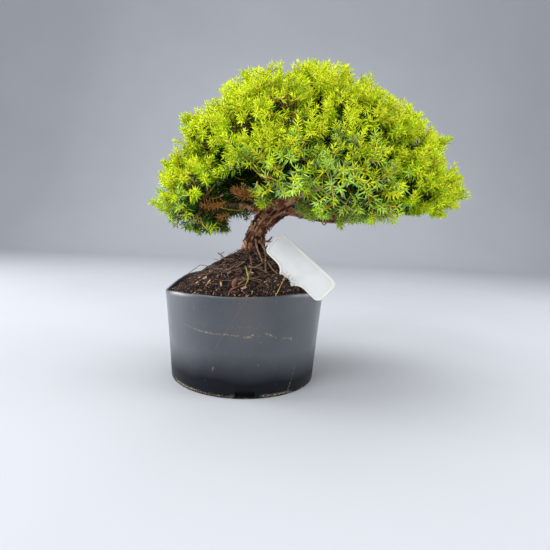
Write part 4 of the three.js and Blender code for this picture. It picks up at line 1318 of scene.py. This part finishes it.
class BONSAI_OT_label(bpy.types.Operator):
    """Builds the blank label with its raised border"""

    bl_idname = "bonsai.label"
    bl_label = "Label"

    def execute(self, context):
        settings = context.scene.bonsai.label
        half, border = LABEL_THICKNESS / 2, settings.border
        sunk, field = half - settings.border_rise, border + LABEL_BEVEL
        steps = (
            (field, -sunk), (border, -half), (LABEL_EDGE, -half), (0.0, LABEL_EDGE - half),
            (0.0, half - LABEL_EDGE), (LABEL_EDGE, half), (border, half), (field, sunk),
        )
        outlines = np.array([label_outline(inset) for inset, _ in steps])
        levels = np.array([level for _, level in steps])[:, None] + np.zeros(outlines.shape[:2])
        leant = Matrix.Rotation(math.pi / 2 - LABEL_LEAN, 3, "X") @ Matrix.Rotation(LABEL_TURN, 3, "Z")
        turn = Matrix.Rotation(LABEL_SWING, 3, "Z") @ leant
        grid = np.concatenate((outlines, levels[..., None]), -1) @ np.array(turn).T + np.array(LABEL_CENTRE)
        vertices, (walls, *_) = loft(grid)
        ring = np.arange(grid.shape[1])
        caps = [ring[None, ::-1], ring[None] + (len(steps) - 1) * len(ring)]
        raised = np.repeat([float(inset < field) for inset, _ in steps], len(ring))
        shape, material = (vertices[:-2], [walls, *caps]), label_material(settings)
        add_piece("label_plate", shape, material, ("label",), smooth=False, values=raised)
        return {"FINISHED"}


def fullness(points):
    """How far out in the tilted dome points lie: the n-th root of the sum of |x/a|^n, 1 at its surface."""
    local = tilted(points - CROWN_CENTRE, CROWN_TILT)
    height = np.where(local[..., 2] > 0, CROWN_HALVES[2], CROWN_DROP)
    halves = np.stack(np.broadcast_arrays(*CROWN_HALVES[:2], height), -1)
    return (np.abs(local / halves) ** CROWN_SQUARENESS).sum(-1) ** (1 / CROWN_SQUARENESS)


def inside_mass(mass, points):
    """Whether points are in a mass's own space: in the dome, over its floor and nearest to its own centre."""
    inside = (fullness(points) <= mass["reach"]) & (points[..., 2] >= mass["floor"] + NEEDLE_SAG)
    offset = points - mass["centre"]
    inside &= np.linalg.norm(offset, axis=-1) <= MASS_RADIUS
    apart = np.linalg.norm(mass["others"], axis=-1)
    return inside & ((offset @ mass["others"].T) / apart < apart / 2 - MASS_GAP / 2).all(-1)


def reach_along(mass, directions):
    """How far a mass's space goes from its centre in each direction, found by halving."""
    near = np.zeros(len(directions))
    far = np.full(len(directions), MASS_RADIUS)
    for _ in range(12):
        middle = (near + far) / 2
        inside = inside_mass(mass, mass["centre"] + directions * middle[:, None])
        near, far = np.where(inside, middle, near), np.where(inside, far, middle)
    return near


def along_curve(control, count):
    """Points at even distances along the cubic Bezier curve of four control points."""
    t = np.linspace(0, 1, 300)[:, None]
    a, b, c, d = control
    curve = a * (1 - t) ** 3 + b * 3 * t * (1 - t) ** 2 + c * 3 * t**2 * (1 - t) + d * t**3
    length = np.concatenate(((0.0,), np.cumsum(np.linalg.norm(np.diff(curve, axis=0), axis=1))))
    even = np.linspace(0, length[-1], count)
    return between(even, length, curve)


def limb_frames(points):
    """Tangents along a limb, and normals that follow them without twisting."""
    ahead = unit(np.gradient(points, axis=0))
    normal = unit(np.cross(ahead[0], (0.0, 1.0, 0.0)) if abs(ahead[0][1]) < 0.9 else np.cross(ahead[0], UP))
    normals = [normal]
    for tangent in ahead[1:]:
        normals.append(unit(normals[-1] - tangent * (normals[-1] @ tangent)))
    return ahead, np.array(normals)


def trunk_radius(share, angle):
    """Radius that changes evenly up the trunk, with ridged flare that fades as exp(-share) from the foot and
    a shallow waist on one side."""
    flare = ROOT_FLARE * np.exp(-share / ROOT_FLARE_SHARE) * (1 + ROOT_RIDGE * np.cos(ROOT_COUNT * angle))
    hollow = np.exp(-(((share - TRUNK_WAIST_SHARE) / TRUNK_WAIST_SPREAD) ** 2))
    waist = TRUNK_WAIST * hollow * (1 - np.cos(angle)) / 2
    return blend(TRUNK_FOOT_RADIUS, TRUNK_FORK_RADIUS, share) + flare - waist


def bough_radius(radius):
    """Rule for the radius along a bough: it falls evenly from a collar whose swell fades as exp(-share)."""

    def rule(share, angle):
        collar = COLLAR_SWELL * np.exp(-share / COLLAR_SHARE)
        return radius * (1 - BOUGH_TAPER * share + collar) + 0 * angle

    return rule


def grow_limbs():
    """Masses with their centres, and the trunk and boughs that carry them, by the rule of the solids."""
    control = (TRUNK_FOOT, TRUNK_FOOT + UP * TRUNK_RISE, TRUNK_FORK - TRUNK_LEAN, TRUNK_FORK)
    limbs = {"trunk": {"points": along_curve(control, LIMB_STEPS + 1), "radius": trunk_radius}}
    azimuth, elevation, reach = np.array([row[1:4] for row in MASS_TABLE]).T
    azimuth, elevation = np.radians(azimuth), np.radians(elevation)
    ways = round_axis(np.cos(elevation), azimuth, np.sin(elevation))
    centres = tilted(ways * CROWN_HALVES * CROWN_SHELL * reach[:, None], -CROWN_TILT) + CROWN_CENTRE
    masses = []
    for i, (name, _, _, stretch, floor, parent, at, radius, lift) in enumerate(MASS_TABLE):
        centre = centres[i]
        others = np.delete(centres, i, axis=0) - centre
        mass = {"name": name, "centre": centre, "others": others, "reach": stretch, "floor": floor}
        start = limbs[parent]["points"][round(at * LIMB_STEPS)]
        entry = unit(centre - (start + centre) / 2 - UP * lift)
        tip = centre - entry * (CORE_SHARE * reach_along(mass, -entry[None])[0] + STEM_CLEARANCE)
        leaving = blend(start, tip, 1 / 3) + UP * lift / 2
        entering = tip - entry * np.linalg.norm(tip - start) / 3
        points = along_curve((start, leaving, entering, tip), LIMB_STEPS + 1)
        limbs[name] = {"points": points, "radius": bough_radius(radius)}
        mass["tip"] = tip
        mass["thick"] = radius * (1 - BOUGH_TAPER)
        masses.append(mass)
    return limbs, masses


def bark_skin(limb, grid, depth, seed):
    """A limb's skin: rings along its curve, furrowed by noise drawn out along the limb, sunk at the gap in
    the trunk's foot and painted dark there as shade, with a round end."""
    (rows, columns), points = grid, limb["points"]
    ahead, normals = limb_frames(points)
    share = np.concatenate((np.linspace(0, 1, rows), np.ones(END_ROWS)))[:, None]
    bend = np.linspace(1 / END_ROWS, 1, END_ROWS) * math.pi / 2
    rounding = np.concatenate((np.zeros(rows), bend))[:, None]
    pick = np.round(share[:, 0] * LIMB_STEPS).astype(int)
    knots = np.linspace(0, 1, LIMB_STEPS + 1)
    centre = between(share[:, 0], knots, points)[:, None]
    forward, side = ahead[pick][:, None], normals[pick][:, None]
    over = np.cross(forward, side)
    angle = round_angles(columns)[None]
    radius = limb["radius"](share, angle)
    ringed = swung(side, over, angle)
    apart = np.linalg.norm(centre + ringed * radius[..., None] - FOOT_GAP_CENTRE, axis=-1)
    gap = np.clip(1.4 * (1 - apart / FOOT_GAP_RADIUS), 0, 1)
    length = np.linalg.norm(np.diff(points, axis=0), axis=1).sum()
    spun = angle + share * length * FURROW_TURN
    drawn = share * length * FURROW_STRETCH
    around = round_axis(radius, spun, drawn) + seed
    plates = 1 - 2.6 * np.abs(value_noise(around, PLATE_SIZE, seed)) ** 0.8
    strips = value_noise(around, STRIP_SIZE, seed + 1)
    crumbs = value_noise(around * (1, 1, 3), CRUMB_SIZE, seed + 2)
    # The gap's low relief gives it the furrow colour: painted shade
    relief = PLATE_SHARE * plates + STRIP_SHARE * strips + CRUMB_SHARE * crumbs - 2 * gap
    relief = np.clip(relief, -1, 1)
    swell = (radius + depth * (relief - 0.3) - FOOT_GAP_DEPTH * gap) * np.cos(rounding)
    bulge = forward * (radius * np.sin(rounding))[..., None]
    skin = centre + bulge + ringed * swell[..., None]
    return loft(skin[:-1]), np.append((relief * 0.5 + 0.5)[:-1], (0.5, 0.5))


class BONSAI_OT_limbs(bpy.types.Operator):
    """Builds the trunk and boughs with furrowed, flaking bark"""

    bl_idname = "bonsai.limbs"
    bl_label = "Trunk and boughs"

    def execute(self, context):
        settings = context.scene.bonsai.wood
        limbs, masses = grow_limbs()
        finishes = (("bark", settings.ridge, 0.0005), ("bark_young", settings.bough, 0.0003))
        old, young = (
            relief_material(name, settings.furrow, high, settings.fresh, 130.0, 900.0, depth)
            for name, high, depth in finishes
        )
        skin, values = bark_skin(limbs["trunk"], TRUNK_GRID, settings.relief, 1)
        add_piece("trunk_bark", skin, old, ("trunk",), values=values)
        names = [mass["name"] for mass in masses]
        skins, tones = [], []
        for number, name in enumerate(names, 1):
            thick = limbs[name]["radius"](np.array(0.5), np.array(0.0))
            depth = settings.relief * thick / FULL_RELIEF_RADIUS
            skin, values = bark_skin(limbs[name], BOUGH_GRID, depth, 10 * number)
            # Painted light: the boughs' relief is raised towards their lighter colour, the left bough most
            painted_light = LEFT_BOUGH_PAINTED_LIGHT if name == "left_low" else BOUGH_PAINTED_LIGHT
            skins.append(skin)
            tones.append(np.clip(values + painted_light, 0, 1))
        boughs = [f"bough_{name}" for name in names]
        add_piece("bough_bark", joined(skins), young, boughs, values=np.concatenate(tones))
        self.add_flakes(settings, limbs)
        self.add_stubs(settings, limbs)
        return {"FINISHED"}

    def add_flakes(self, settings, limbs):
        """Loose flakes along the limbs, each lifted at one end, dealt out to three tones."""
        dice = np.random.default_rng(7)
        tints = ("pale", "brown", "dark")
        dealt = [[] for _ in tints]
        for name, portion in FLAKE_SHARES:
            count = int(settings.flakes * portion)
            limb = limbs[name]
            ahead, normals = limb_frames(limb["points"])
            share = dice.uniform(0.02, 0.98, count)
            pick = np.round(share * LIMB_STEPS).astype(int)
            angle = dice.uniform(0, FULL_TURN, count)
            forward = ahead[pick]
            over = np.cross(forward, normals[pick])
            away = swung(normals[pick], over, angle)
            lean = dice.uniform(0.08, 0.55, (count, 1)) * dice.choice((-1, 1), (count, 1))
            along = unit(forward + away * lean)
            radius = limb["radius"](share, angle)[:, None]
            places = limb["points"][pick] + away * (radius + dice.uniform(-0.0001, 0.0006, (count, 1)))
            scale = np.clip(radius / FLAKE_RADIUS, 0.45, 1.1)
            sizes = dice.uniform(*FLAKE_SIZES, (count, 3)) * scale
            clear = np.linalg.norm(places - FOOT_GAP_CENTRE, axis=1) > FOOT_GAP_RADIUS
            cross = unit(np.cross(away, along))
            tone = dice.integers(0, len(tints), count)
            for number, meshes in enumerate(dealt):
                own = clear & (tone == number)
                meshes.append(slabs(places[own], along[own], cross[own], sizes[own], dice))
        for tint, meshes in zip(tints, dealt):
            colour = getattr(settings, f"flake_{tint}")
            flake = plain_material(
                f"bark_flake_{tint}", colour, drift=0.4, scale=160.0, roughness=0.85, specular=0.2
            )
            add_piece(f"bark_flakes_{tint}", joined(meshes), flake, smooth=False)

    def add_stubs(self, settings, limbs):
        """Broken twigs: a forked one at the trunk's foot and a curled one under the right bough."""
        under = limbs["right_low"]["points"]
        hold = under[np.argmin(np.abs(under[:, 0] - CURL_X))]
        twigs = (*STUB_PATHS, (CURL_RADIUS, hold + np.array(CURL_PATH)))
        stubs = [tapered_tube(points, 12, thick, thick * 0.5, 7) for thick, points in twigs]
        wood = plain_material("stub", settings.ridge, drift=0.5, scale=260.0, roughness=0.8)
        add_piece("twig_stubs", joined(stubs), wood)


def golden_directions(count, outward, dice):
    """Directions spread evenly by the golden angle, from straight outward to some way behind."""
    step = np.arange(count)
    height = 1 - (1 - INWARD_LIMIT) * (step + 0.5) / count
    spread = np.sqrt(1 - height**2)
    angle = step * GOLDEN_ANGLE + dice.uniform(0, WAY_SWING, count)
    side = unit(np.cross(outward, (0.3, 0.5, 0.81)))
    over = np.cross(outward, side)
    return swung(side, over, angle) * spread[:, None] + outward * height[:, None]


def in_hollow(points):
    """Whether points lie in one of the crown's hollows, where the offset over the half sizes is shorter than
    1, or in the gaps between the sprays that hang low at the left."""
    offset = (points[:, None] - HOLLOWS[:, 0]) / HOLLOWS[:, 1]
    hanging = (points[:, 0] < 0.0) & (points[:, 2] < HANGING_TOP)
    gaps = hanging & (value_noise(points, HANGING_GAP, 5) > 0.0)
    return (np.linalg.norm(offset, axis=-1) < 1).any(-1) | gaps


def grow_mass(mass, settings, dice):
    """Starts and ends of a mass's twigs, branchlets, shoots and inner shoots: each level spreads by the
    golden angle and grows further out, and each joins the nearest of the level below."""
    centre = mass["centre"]
    outward = unit(centre - CROWN_CENTRE)

    def grown(ways, shares):
        return centre + ways * (reach_along(mass, ways) * shares)[:, None]

    twig_ways = golden_directions(settings.twigs, outward, dice)
    twig_ends = grown(twig_ways, TWIG_END)
    ways = golden_directions(settings.branchlets, outward, dice)
    twig_of = np.argmax(ways @ twig_ways.T, axis=1)
    low = blend(centre, twig_ends[twig_of], dice.uniform(*BRANCHLET_START, (len(ways), 1)))
    ends = grown(ways, dice.uniform(*BRANCHLET_END, len(ways)))
    shoot_ways = golden_directions(settings.shoots, outward, dice)
    branchlet_of = np.argmax(shoot_ways @ ways.T, axis=1)
    roots = blend(low[branchlet_of], ends[branchlet_of], dice.uniform(*SHOOT_START, (len(shoot_ways), 1)))
    sideways = ramp(np.abs(ends[:, 0] - CROWN_CENTRE[0]), 0, CROWN_HALVES[0])
    dip = blend(DIP_MIDDLE, DIP_SIDES, sideways) * dice.uniform(size=len(ways)) ** 1.5
    share = (1 - dip)[branchlet_of] + dice.uniform(*SHOOT_JITTER, len(shoot_ways))
    tips = grown(shoot_ways, np.clip(share, SHOOT_LEAST, 1.0))
    shown = fullness(tips) / mass["reach"]
    kept = dice.uniform(size=len(tips)) < np.clip((shown - 0.35) / 0.3, 0.3, 1.0)
    kept &= ~in_hollow(tips)
    inner_ways = unit(dice.normal(size=(settings.inner, 3)))
    inner_tips = grown(inner_ways, dice.uniform(*INNER_END, settings.inner))
    inner_roots = blend(centre, inner_tips, dice.uniform(*INNER_START, (settings.inner, 1)))
    deep, clear = ~in_hollow(inner_tips), ~in_hollow(ends)
    twigs = (np.repeat(centre[None], len(twig_ends), 0), twig_ends)
    return twigs, (low[clear], ends[clear]), (roots[kept], tips[kept]), (inner_roots[deep], inner_tips[deep])


class BONSAI_OT_foliage(bpy.types.Operator):
    """Grows twigs, branchlets and needle shoots out of the boughs"""

    bl_idname = "bonsai.foliage"
    bl_label = "Foliage"

    def execute(self, context):
        settings = context.scene.bonsai.foliage
        dice = np.random.default_rng(20)
        _, masses = grow_limbs()
        grown = [grow_mass(mass, settings, dice) for mass in masses]
        levels = [[np.concatenate(ends) for ends in zip(*level)] for level in zip(*grown)]
        twigs, branchlets, shoots, inner = levels
        self.add_twigs(settings, masses, twigs, dice)
        extra_kinds, counts, *ends = zip(*SPRAYS)
        extra = np.repeat(np.stack(ends, 1), counts, axis=0)
        extra = extra + dice.normal(0, SPRAY_SPREAD, extra.shape)
        kinds = np.repeat(("young", "inner"), (len(shoots[0]), len(inner[0])))
        kinds = np.append(kinds, np.repeat(extra_kinds, counts))
        shoots = [np.concatenate((shoots[end], inner[end], extra[:, end])) for end in (0, 1)]
        self.add_shoots(settings, branchlets, shoots, kinds, dice)
        return {"FINISHED"}

    def add_twigs(self, settings, masses, twigs, dice):
        """Woody stems from the boughs' tips to the middle of each mass, and twigs."""
        tips = np.array([mass["tip"] for mass in masses])
        centres = np.array([mass["centre"] for mass in masses])
        thick = np.array([[mass["thick"]] for mass in masses])
        stems = tubes(bent_paths(tips, centres, 0 * tips, 4), thick * np.linspace(1, 0.75, 4), 7)
        bend = dice.normal(0, TWIG_BEND, twigs[0].shape) - UP * TWIG_SAG
        limbs = tubes(bent_paths(*twigs, bend, 6), np.linspace(*TWIG_RADII, 6), 6)
        wood = plain_material("twig_wood", settings.twig, drift=0.45, scale=220.0, roughness=0.8)
        add_piece("twigs", joined([stems, limbs]), wood)

    def add_shoots(self, settings, branchlets, shoots, kinds, dice):
        """Branchlets, and the stems of the shoots, which sag before they curve up to their tips."""
        sag = dice.normal(0, BRANCHLET_BEND, branchlets[0].shape) - UP * BRANCHLET_SAG
        fine = tubes(bent_paths(*branchlets, sag, 5), np.linspace(*BRANCHLET_RADII, 5), 5)
        roots, tips = shoots
        length = np.linalg.norm(tips - roots, axis=1)
        bend = dice.normal(0, SHOOT_BEND, roots.shape) - UP * (SHOOT_SAG * length)[:, None]
        stems = tubes(bent_paths(roots, tips, bend, 6), np.linspace(*SHOOT_RADII, 6), 4)
        young = plain_material("young_stem", settings.stem, drift=0.3, scale=200.0, roughness=0.55)
        add_piece("shoot_stems", stems, young)
        wood = plain_material("branchlet_wood", settings.branchlet, drift=0.4, scale=200.0, roughness=0.7)
        add_piece("branchlets", fine, wood)
        tone = self.shoot_tones(tips, kinds, dice)
        self.add_needles(settings, roots, (roots + tips) / 2 + bend, tips, tone, dice)

    def add_needles(self, settings, roots, control, tips, tone, dice):
        """Whorls of three needles at even gaps back from each shoot's tip. A needle leaves the stem at an
        angle that opens with the distance from the tip, and it grows and darkens with that distance."""
        length = np.linalg.norm(tips - roots, axis=1)
        whorls = np.arange(int(settings.leafy / settings.whorl_gap))
        back = whorls * settings.whorl_gap + FIRST_WHORL
        held = back < 0.94 * length[:, None]
        held &= (whorls % 2 == 0) | (back < SPARSE_LENGTH) | ~tone["sparse"][:, None]
        shoot, whorl = np.nonzero(held)
        far = back[whorl]
        share = (1 - back / length[:, None])[held][:, None]
        turning = control[shoot] * 2 * share * (1 - share)
        place = roots[shoot] * (1 - share) ** 2 + turning + tips[shoot] * share**2
        ahead = unit((control - roots)[shoot] * (1 - share) + (tips - control)[shoot] * share)
        side = unit(np.cross(ahead, unit(dice.normal(size=(len(roots), 3)))[shoot]))
        over = np.cross(ahead, side)
        turn = whorl[:, None] * math.pi / 3 + round_angles(3) + dice.normal(0, 0.15, (len(shoot), 3))
        loose = tone["loose"][shoot]
        opening = ramp(far, 0, np.where(loose, LOOSE_LENGTH, OPEN_LENGTH)) ** 0.7
        open_angle = blend(TIP_ANGLE, np.where(loose, LOOSE_ANGLE, OPEN_ANGLE), opening)
        open_angle = open_angle[:, None] + dice.normal(0, 0.12, turn.shape)
        away = swung(side[:, None], over[:, None], turn)
        lean = swung(ahead[:, None], away, open_angle)
        across = unit(np.cross(lean, away))
        grown = blend(0.64, 1.0, ramp(far, 0, GROWN_LENGTH))[:, None]
        grown = grown * dice.uniform(0.82, 1.12, turn.shape)
        slim = np.where(loose, 0.85, 1.0)[:, None]
        kind = self.needle_tones(place, far, {key: values[shoot] for key, values in tone.items()}, dice)
        needles = (
            np.repeat(place, 3, axis=0), lean.reshape(-1, 3), across.reshape(-1, 3),
            (grown / slim * settings.needle_length).ravel(),
            (settings.needle_width * slim * (0.6 + 0.4 * grown)).ravel(),
        )
        self.deal_needles(settings, needles, kind.ravel())

    def needle_tones(self, place, far, tone, dice):
        """Number of each needle's colour: its shoot's brightness, which is mostly painted light and shade,
        less with the distance from the tip and, as painted shade, deep in the crown, parts the first four.
        Green, bluish and dried shoots have colours of their own."""
        shape = (len(place), 3)
        bright = tone["bright"][:, None] + blend(0.2, -0.26, ramp(far, 0, DARK_LENGTH))[:, None]
        bright = bright + dice.normal(0, 0.09, shape)
        full = fullness(place)
        depth = ramp(full, *DARK_INWARD)
        dimming = blend(0.5, 0.22, ramp(place[:, 2], *DARK_RISE))
        bright = bright - np.where(tone["lit"], 0, dimming * depth)[:, None]
        kind = np.digitize(bright, TONE_STEPS)
        green = tone["green"] & ~(tone["limed"] & (far < LIME_LENGTH))
        kind = np.where(green[:, None] & (kind > LEAF_TONE), FRESH_TONE, kind)
        bluish = tone["glaucous"] & (far > GREEN_LENGTH) & (tone["lit"] | (full > 0.7))
        kind = np.where(bluish[:, None] & (dice.uniform(size=shape) < 0.75), GLAUCOUS_TONE, kind)
        return np.where(tone["dead"][:, None], DEAD_TONE, kind)

    def shoot_tones(self, tips, kinds, dice):
        """Brightness by height, by place in the dome and by chance, which paints light and shade over the
        crown, with lit and fresh sprays painted bright and inner shoots dark, and which shoots are loose and
        long in the needle, sparse, fresh green instead of lime, with or without lime tips, bluish, or dried."""
        chance = dice.uniform(size=(4, len(tips)))
        x, y, z = tips.T
        up = ramp(z, *LIGHT_RISE)
        out = ramp(fullness(tips), *LIGHT_OUTWARD)
        patch = value_noise(tips, LIGHT_PATCH, 31)
        flank = ramp(np.abs(x - FLANK_MIDDLE), *FLANK_OUTWARD) * ramp(z, *FLANK_RISE)
        bright = 0.27 + 0.26 * up + 0.24 * out + 0.14 * patch + 0.09 * flank + dice.normal(0, 0.13, len(tips))
        low_left = ramp(x, *DIM_LEFTWARD) * ramp(z, *DIM_DOWNWARD)
        edge = blend(*SHADE_EDGES, ramp(x, *SHADE_CLIMB)) + 0.012 * patch
        shade = ramp(z, edge, SHADE_DEPTH) * ramp(x, *SHADE_LEFTWARD)
        spots = [
            np.exp(-(((x - along) / wide) ** 2) - ((z - level) / tall) ** 2)
            for along, wide, level, tall in BLUISH_PLACES
        ]
        fresh, inner = kinds == "fresh", kinds == "inner"
        lit = fresh | (kinds == "lit")
        shaded = chance[0] < 0.8 * shade
        bluish = (chance[2] < np.where(y < 0, 0.62, 0.4) * np.maximum(*spots)) & (kinds == "young")
        return {
            # Lit and fresh sprays take a fixed painted brightness; inner shoots the lowest, painted shade
            "bright": np.where(lit, 0.56, np.where(inner, 0.0, bright - 0.34 * low_left)),
            "lit": lit,
            "loose": shaded | inner | fresh,
            "sparse": (shaded & ~inner) | fresh,
            "green": (chance[1] < 0.85 * shade) | fresh,
            "limed": (chance[3] < 0.4) & ~fresh,
            "glaucous": bluish | fresh,
            "dead": kinds == "dead",
        }

    def deal_needles(self, settings, needles, kind):
        """Joins the needles of each colour, in pieces that stay small enough to export whole."""
        stands_for = [f"foliage_{row[0]}" for row in MASS_TABLE]
        for number, tint in enumerate(NEEDLE_TINTS):
            chosen = np.nonzero(kind == number)[0]
            colour = getattr(settings, tint)
            material = plain_material(
                f"needle_{tint}", colour, drift=0.16, scale=90.0, roughness=0.55, specular=0.08
            )
            parts = math.ceil(len(chosen) / NEEDLES_PER_PIECE)
            for part, group in enumerate(np.array_split(chosen, parts) if parts else ()):
                shape = needle_mesh(*(values[group] for values in needles))
                replaces = stands_for if tint == "lime" and part == 0 else ()
                add_piece(f"needles_{tint}_{part + 1}", shape, material, replaces, smooth=False)


class BONSAI_OT_stage(bpy.types.Operator):
    """Sets the floor, the backdrop, the lights and the camera"""

    bl_idname = "bonsai.stage"
    bl_label = "Stage"

    def execute(self, context):
        settings = context.scene.bonsai.stage
        self.add_floor(settings)
        for name, place, target, size in LIGHTS:
            self.add_light(f"{name}_light", place, target, size, getattr(settings, name))
        world = bpy.data.worlds.new("soft_sky")
        world.use_nodes = True
        background = world.node_tree.nodes["Background"]
        background.inputs["Color"].default_value = SKY_COLOUR
        background.inputs["Strength"].default_value = settings.sky
        context.scene.world = world
        context.scene.view_settings.view_transform = "Standard"
        camera = bpy.data.objects.new("camera", bpy.data.cameras.new("camera"))
        context.scene.collection.objects.link(camera)
        camera.data.lens = CAMERA_LENS
        camera.data.sensor_width = CAMERA_SENSOR
        camera.data.clip_start = CAMERA_CLIP
        turn = Matrix.Rotation(CAMERA_PITCH, 4, "X") @ Matrix.Rotation(CAMERA_ROLL, 4, "Z")
        camera.matrix_world = Matrix.Translation(CAMERA_PLACE) @ turn
        context.scene.camera = camera
        return {"FINISHED"}

    def add_floor(self, settings):
        """A level floor that sweeps up behind in a quarter circle to a backdrop, as a profile along X."""
        bend = np.linspace(0, math.pi / 2, 20)
        back = FLOOR_BEND_START + FLOOR_BEND_RADIUS * np.sin(bend)
        depth = np.concatenate(((FLOOR_FRONT, 0.0), back, back[-1:]))
        rise = FLOOR_BEND_RADIUS * (1 - np.cos(bend))
        height = np.concatenate(((0.0, 0.0), rise, (BACKDROP_TOP,)))
        width = np.array((-FLOOR_HALF_WIDTH, FLOOR_HALF_WIDTH))
        grid = np.stack(np.broadcast_arrays(width, depth[:, None], height[:, None]), -1)
        first = np.arange(len(depth) - 1) * 2
        quads = np.stack((first, first + 1, first + 3, first + 2), -1)
        mesh = bpy.data.meshes.new("floor")
        mesh.from_pydata(grid.reshape(-1, 3).tolist(), [], quads.tolist())
        mesh.polygons.foreach_set("use_smooth", np.ones(len(quads), bool))
        paper = plain_material("floor", settings.floor, drift=0.02, scale=4.0, roughness=0.7, specular=0.2)
        mesh.materials.append(paper)
        floor = bpy.data.objects.new("floor", mesh)
        bpy.context.scene.collection.objects.link(floor)

    def add_light(self, name, place, target, size, power):
        """A square soft light that faces a point."""
        lamp = bpy.data.lights.new(name, "AREA")
        lamp.size = size
        lamp.energy = power
        light = bpy.data.objects.new(name, lamp)
        light.location = place
        light.rotation_euler = (Vector(target) - Vector(place)).to_track_quat("-Z", "Y").to_euler()
        bpy.context.scene.collection.objects.link(light)


class BONSAI_PT_panel(bpy.types.Panel):
    """Lists the bonsai's steps and settings"""

    bl_idname = "BONSAI_PT_panel"
    bl_label = "Juniper bonsai"
    bl_space_type = "VIEW_3D"
    bl_region_type = "UI"
    bl_category = "Bonsai"

    def draw(self, context):
        settings = context.scene.bonsai
        for operator in OPERATORS:
            self.layout.operator(operator.bl_idname)
        for group in settings.bl_rna.properties.keys():
            if group not in ("rna_type", "name"):
                box = self.layout.box()
                box.label(text=group.capitalize())
                for key in getattr(settings, group).__annotations__:
                    box.prop(getattr(settings, group), key)


GROUPS = (BONSAI_PG_pot, BONSAI_PG_soil, BONSAI_PG_label, BONSAI_PG_wood, BONSAI_PG_foliage, BONSAI_PG_stage)
OPERATORS = (
    BONSAI_OT_stage, BONSAI_OT_pot, BONSAI_OT_soil, BONSAI_OT_litter,
    BONSAI_OT_label, BONSAI_OT_limbs, BONSAI_OT_foliage,
)
CLASSES = (*GROUPS, BONSAI_PG_settings, *OPERATORS, BONSAI_PT_panel)


def register():
    """Registers the classes and puts the settings on the scene."""
    for cls in CLASSES:
        bpy.utils.register_class(cls)
    bpy.types.Scene.bonsai = group_property("Bonsai", BONSAI_PG_settings)


def unregister():
    """Takes the settings off the scene and unregisters the classes."""
    del bpy.types.Scene.bonsai
    for cls in reversed(CLASSES):
        bpy.utils.unregister_class(cls)


def main():
    """Builds the stage and every piece."""
    register()
    bpy.ops.bonsai.stage()
    bpy.ops.bonsai.pot()
    bpy.ops.bonsai.soil()
    bpy.ops.bonsai.litter()
    bpy.ops.bonsai.label()
    bpy.ops.bonsai.limbs()
    bpy.ops.bonsai.foliage()


if __name__ == "__main__":
    main()
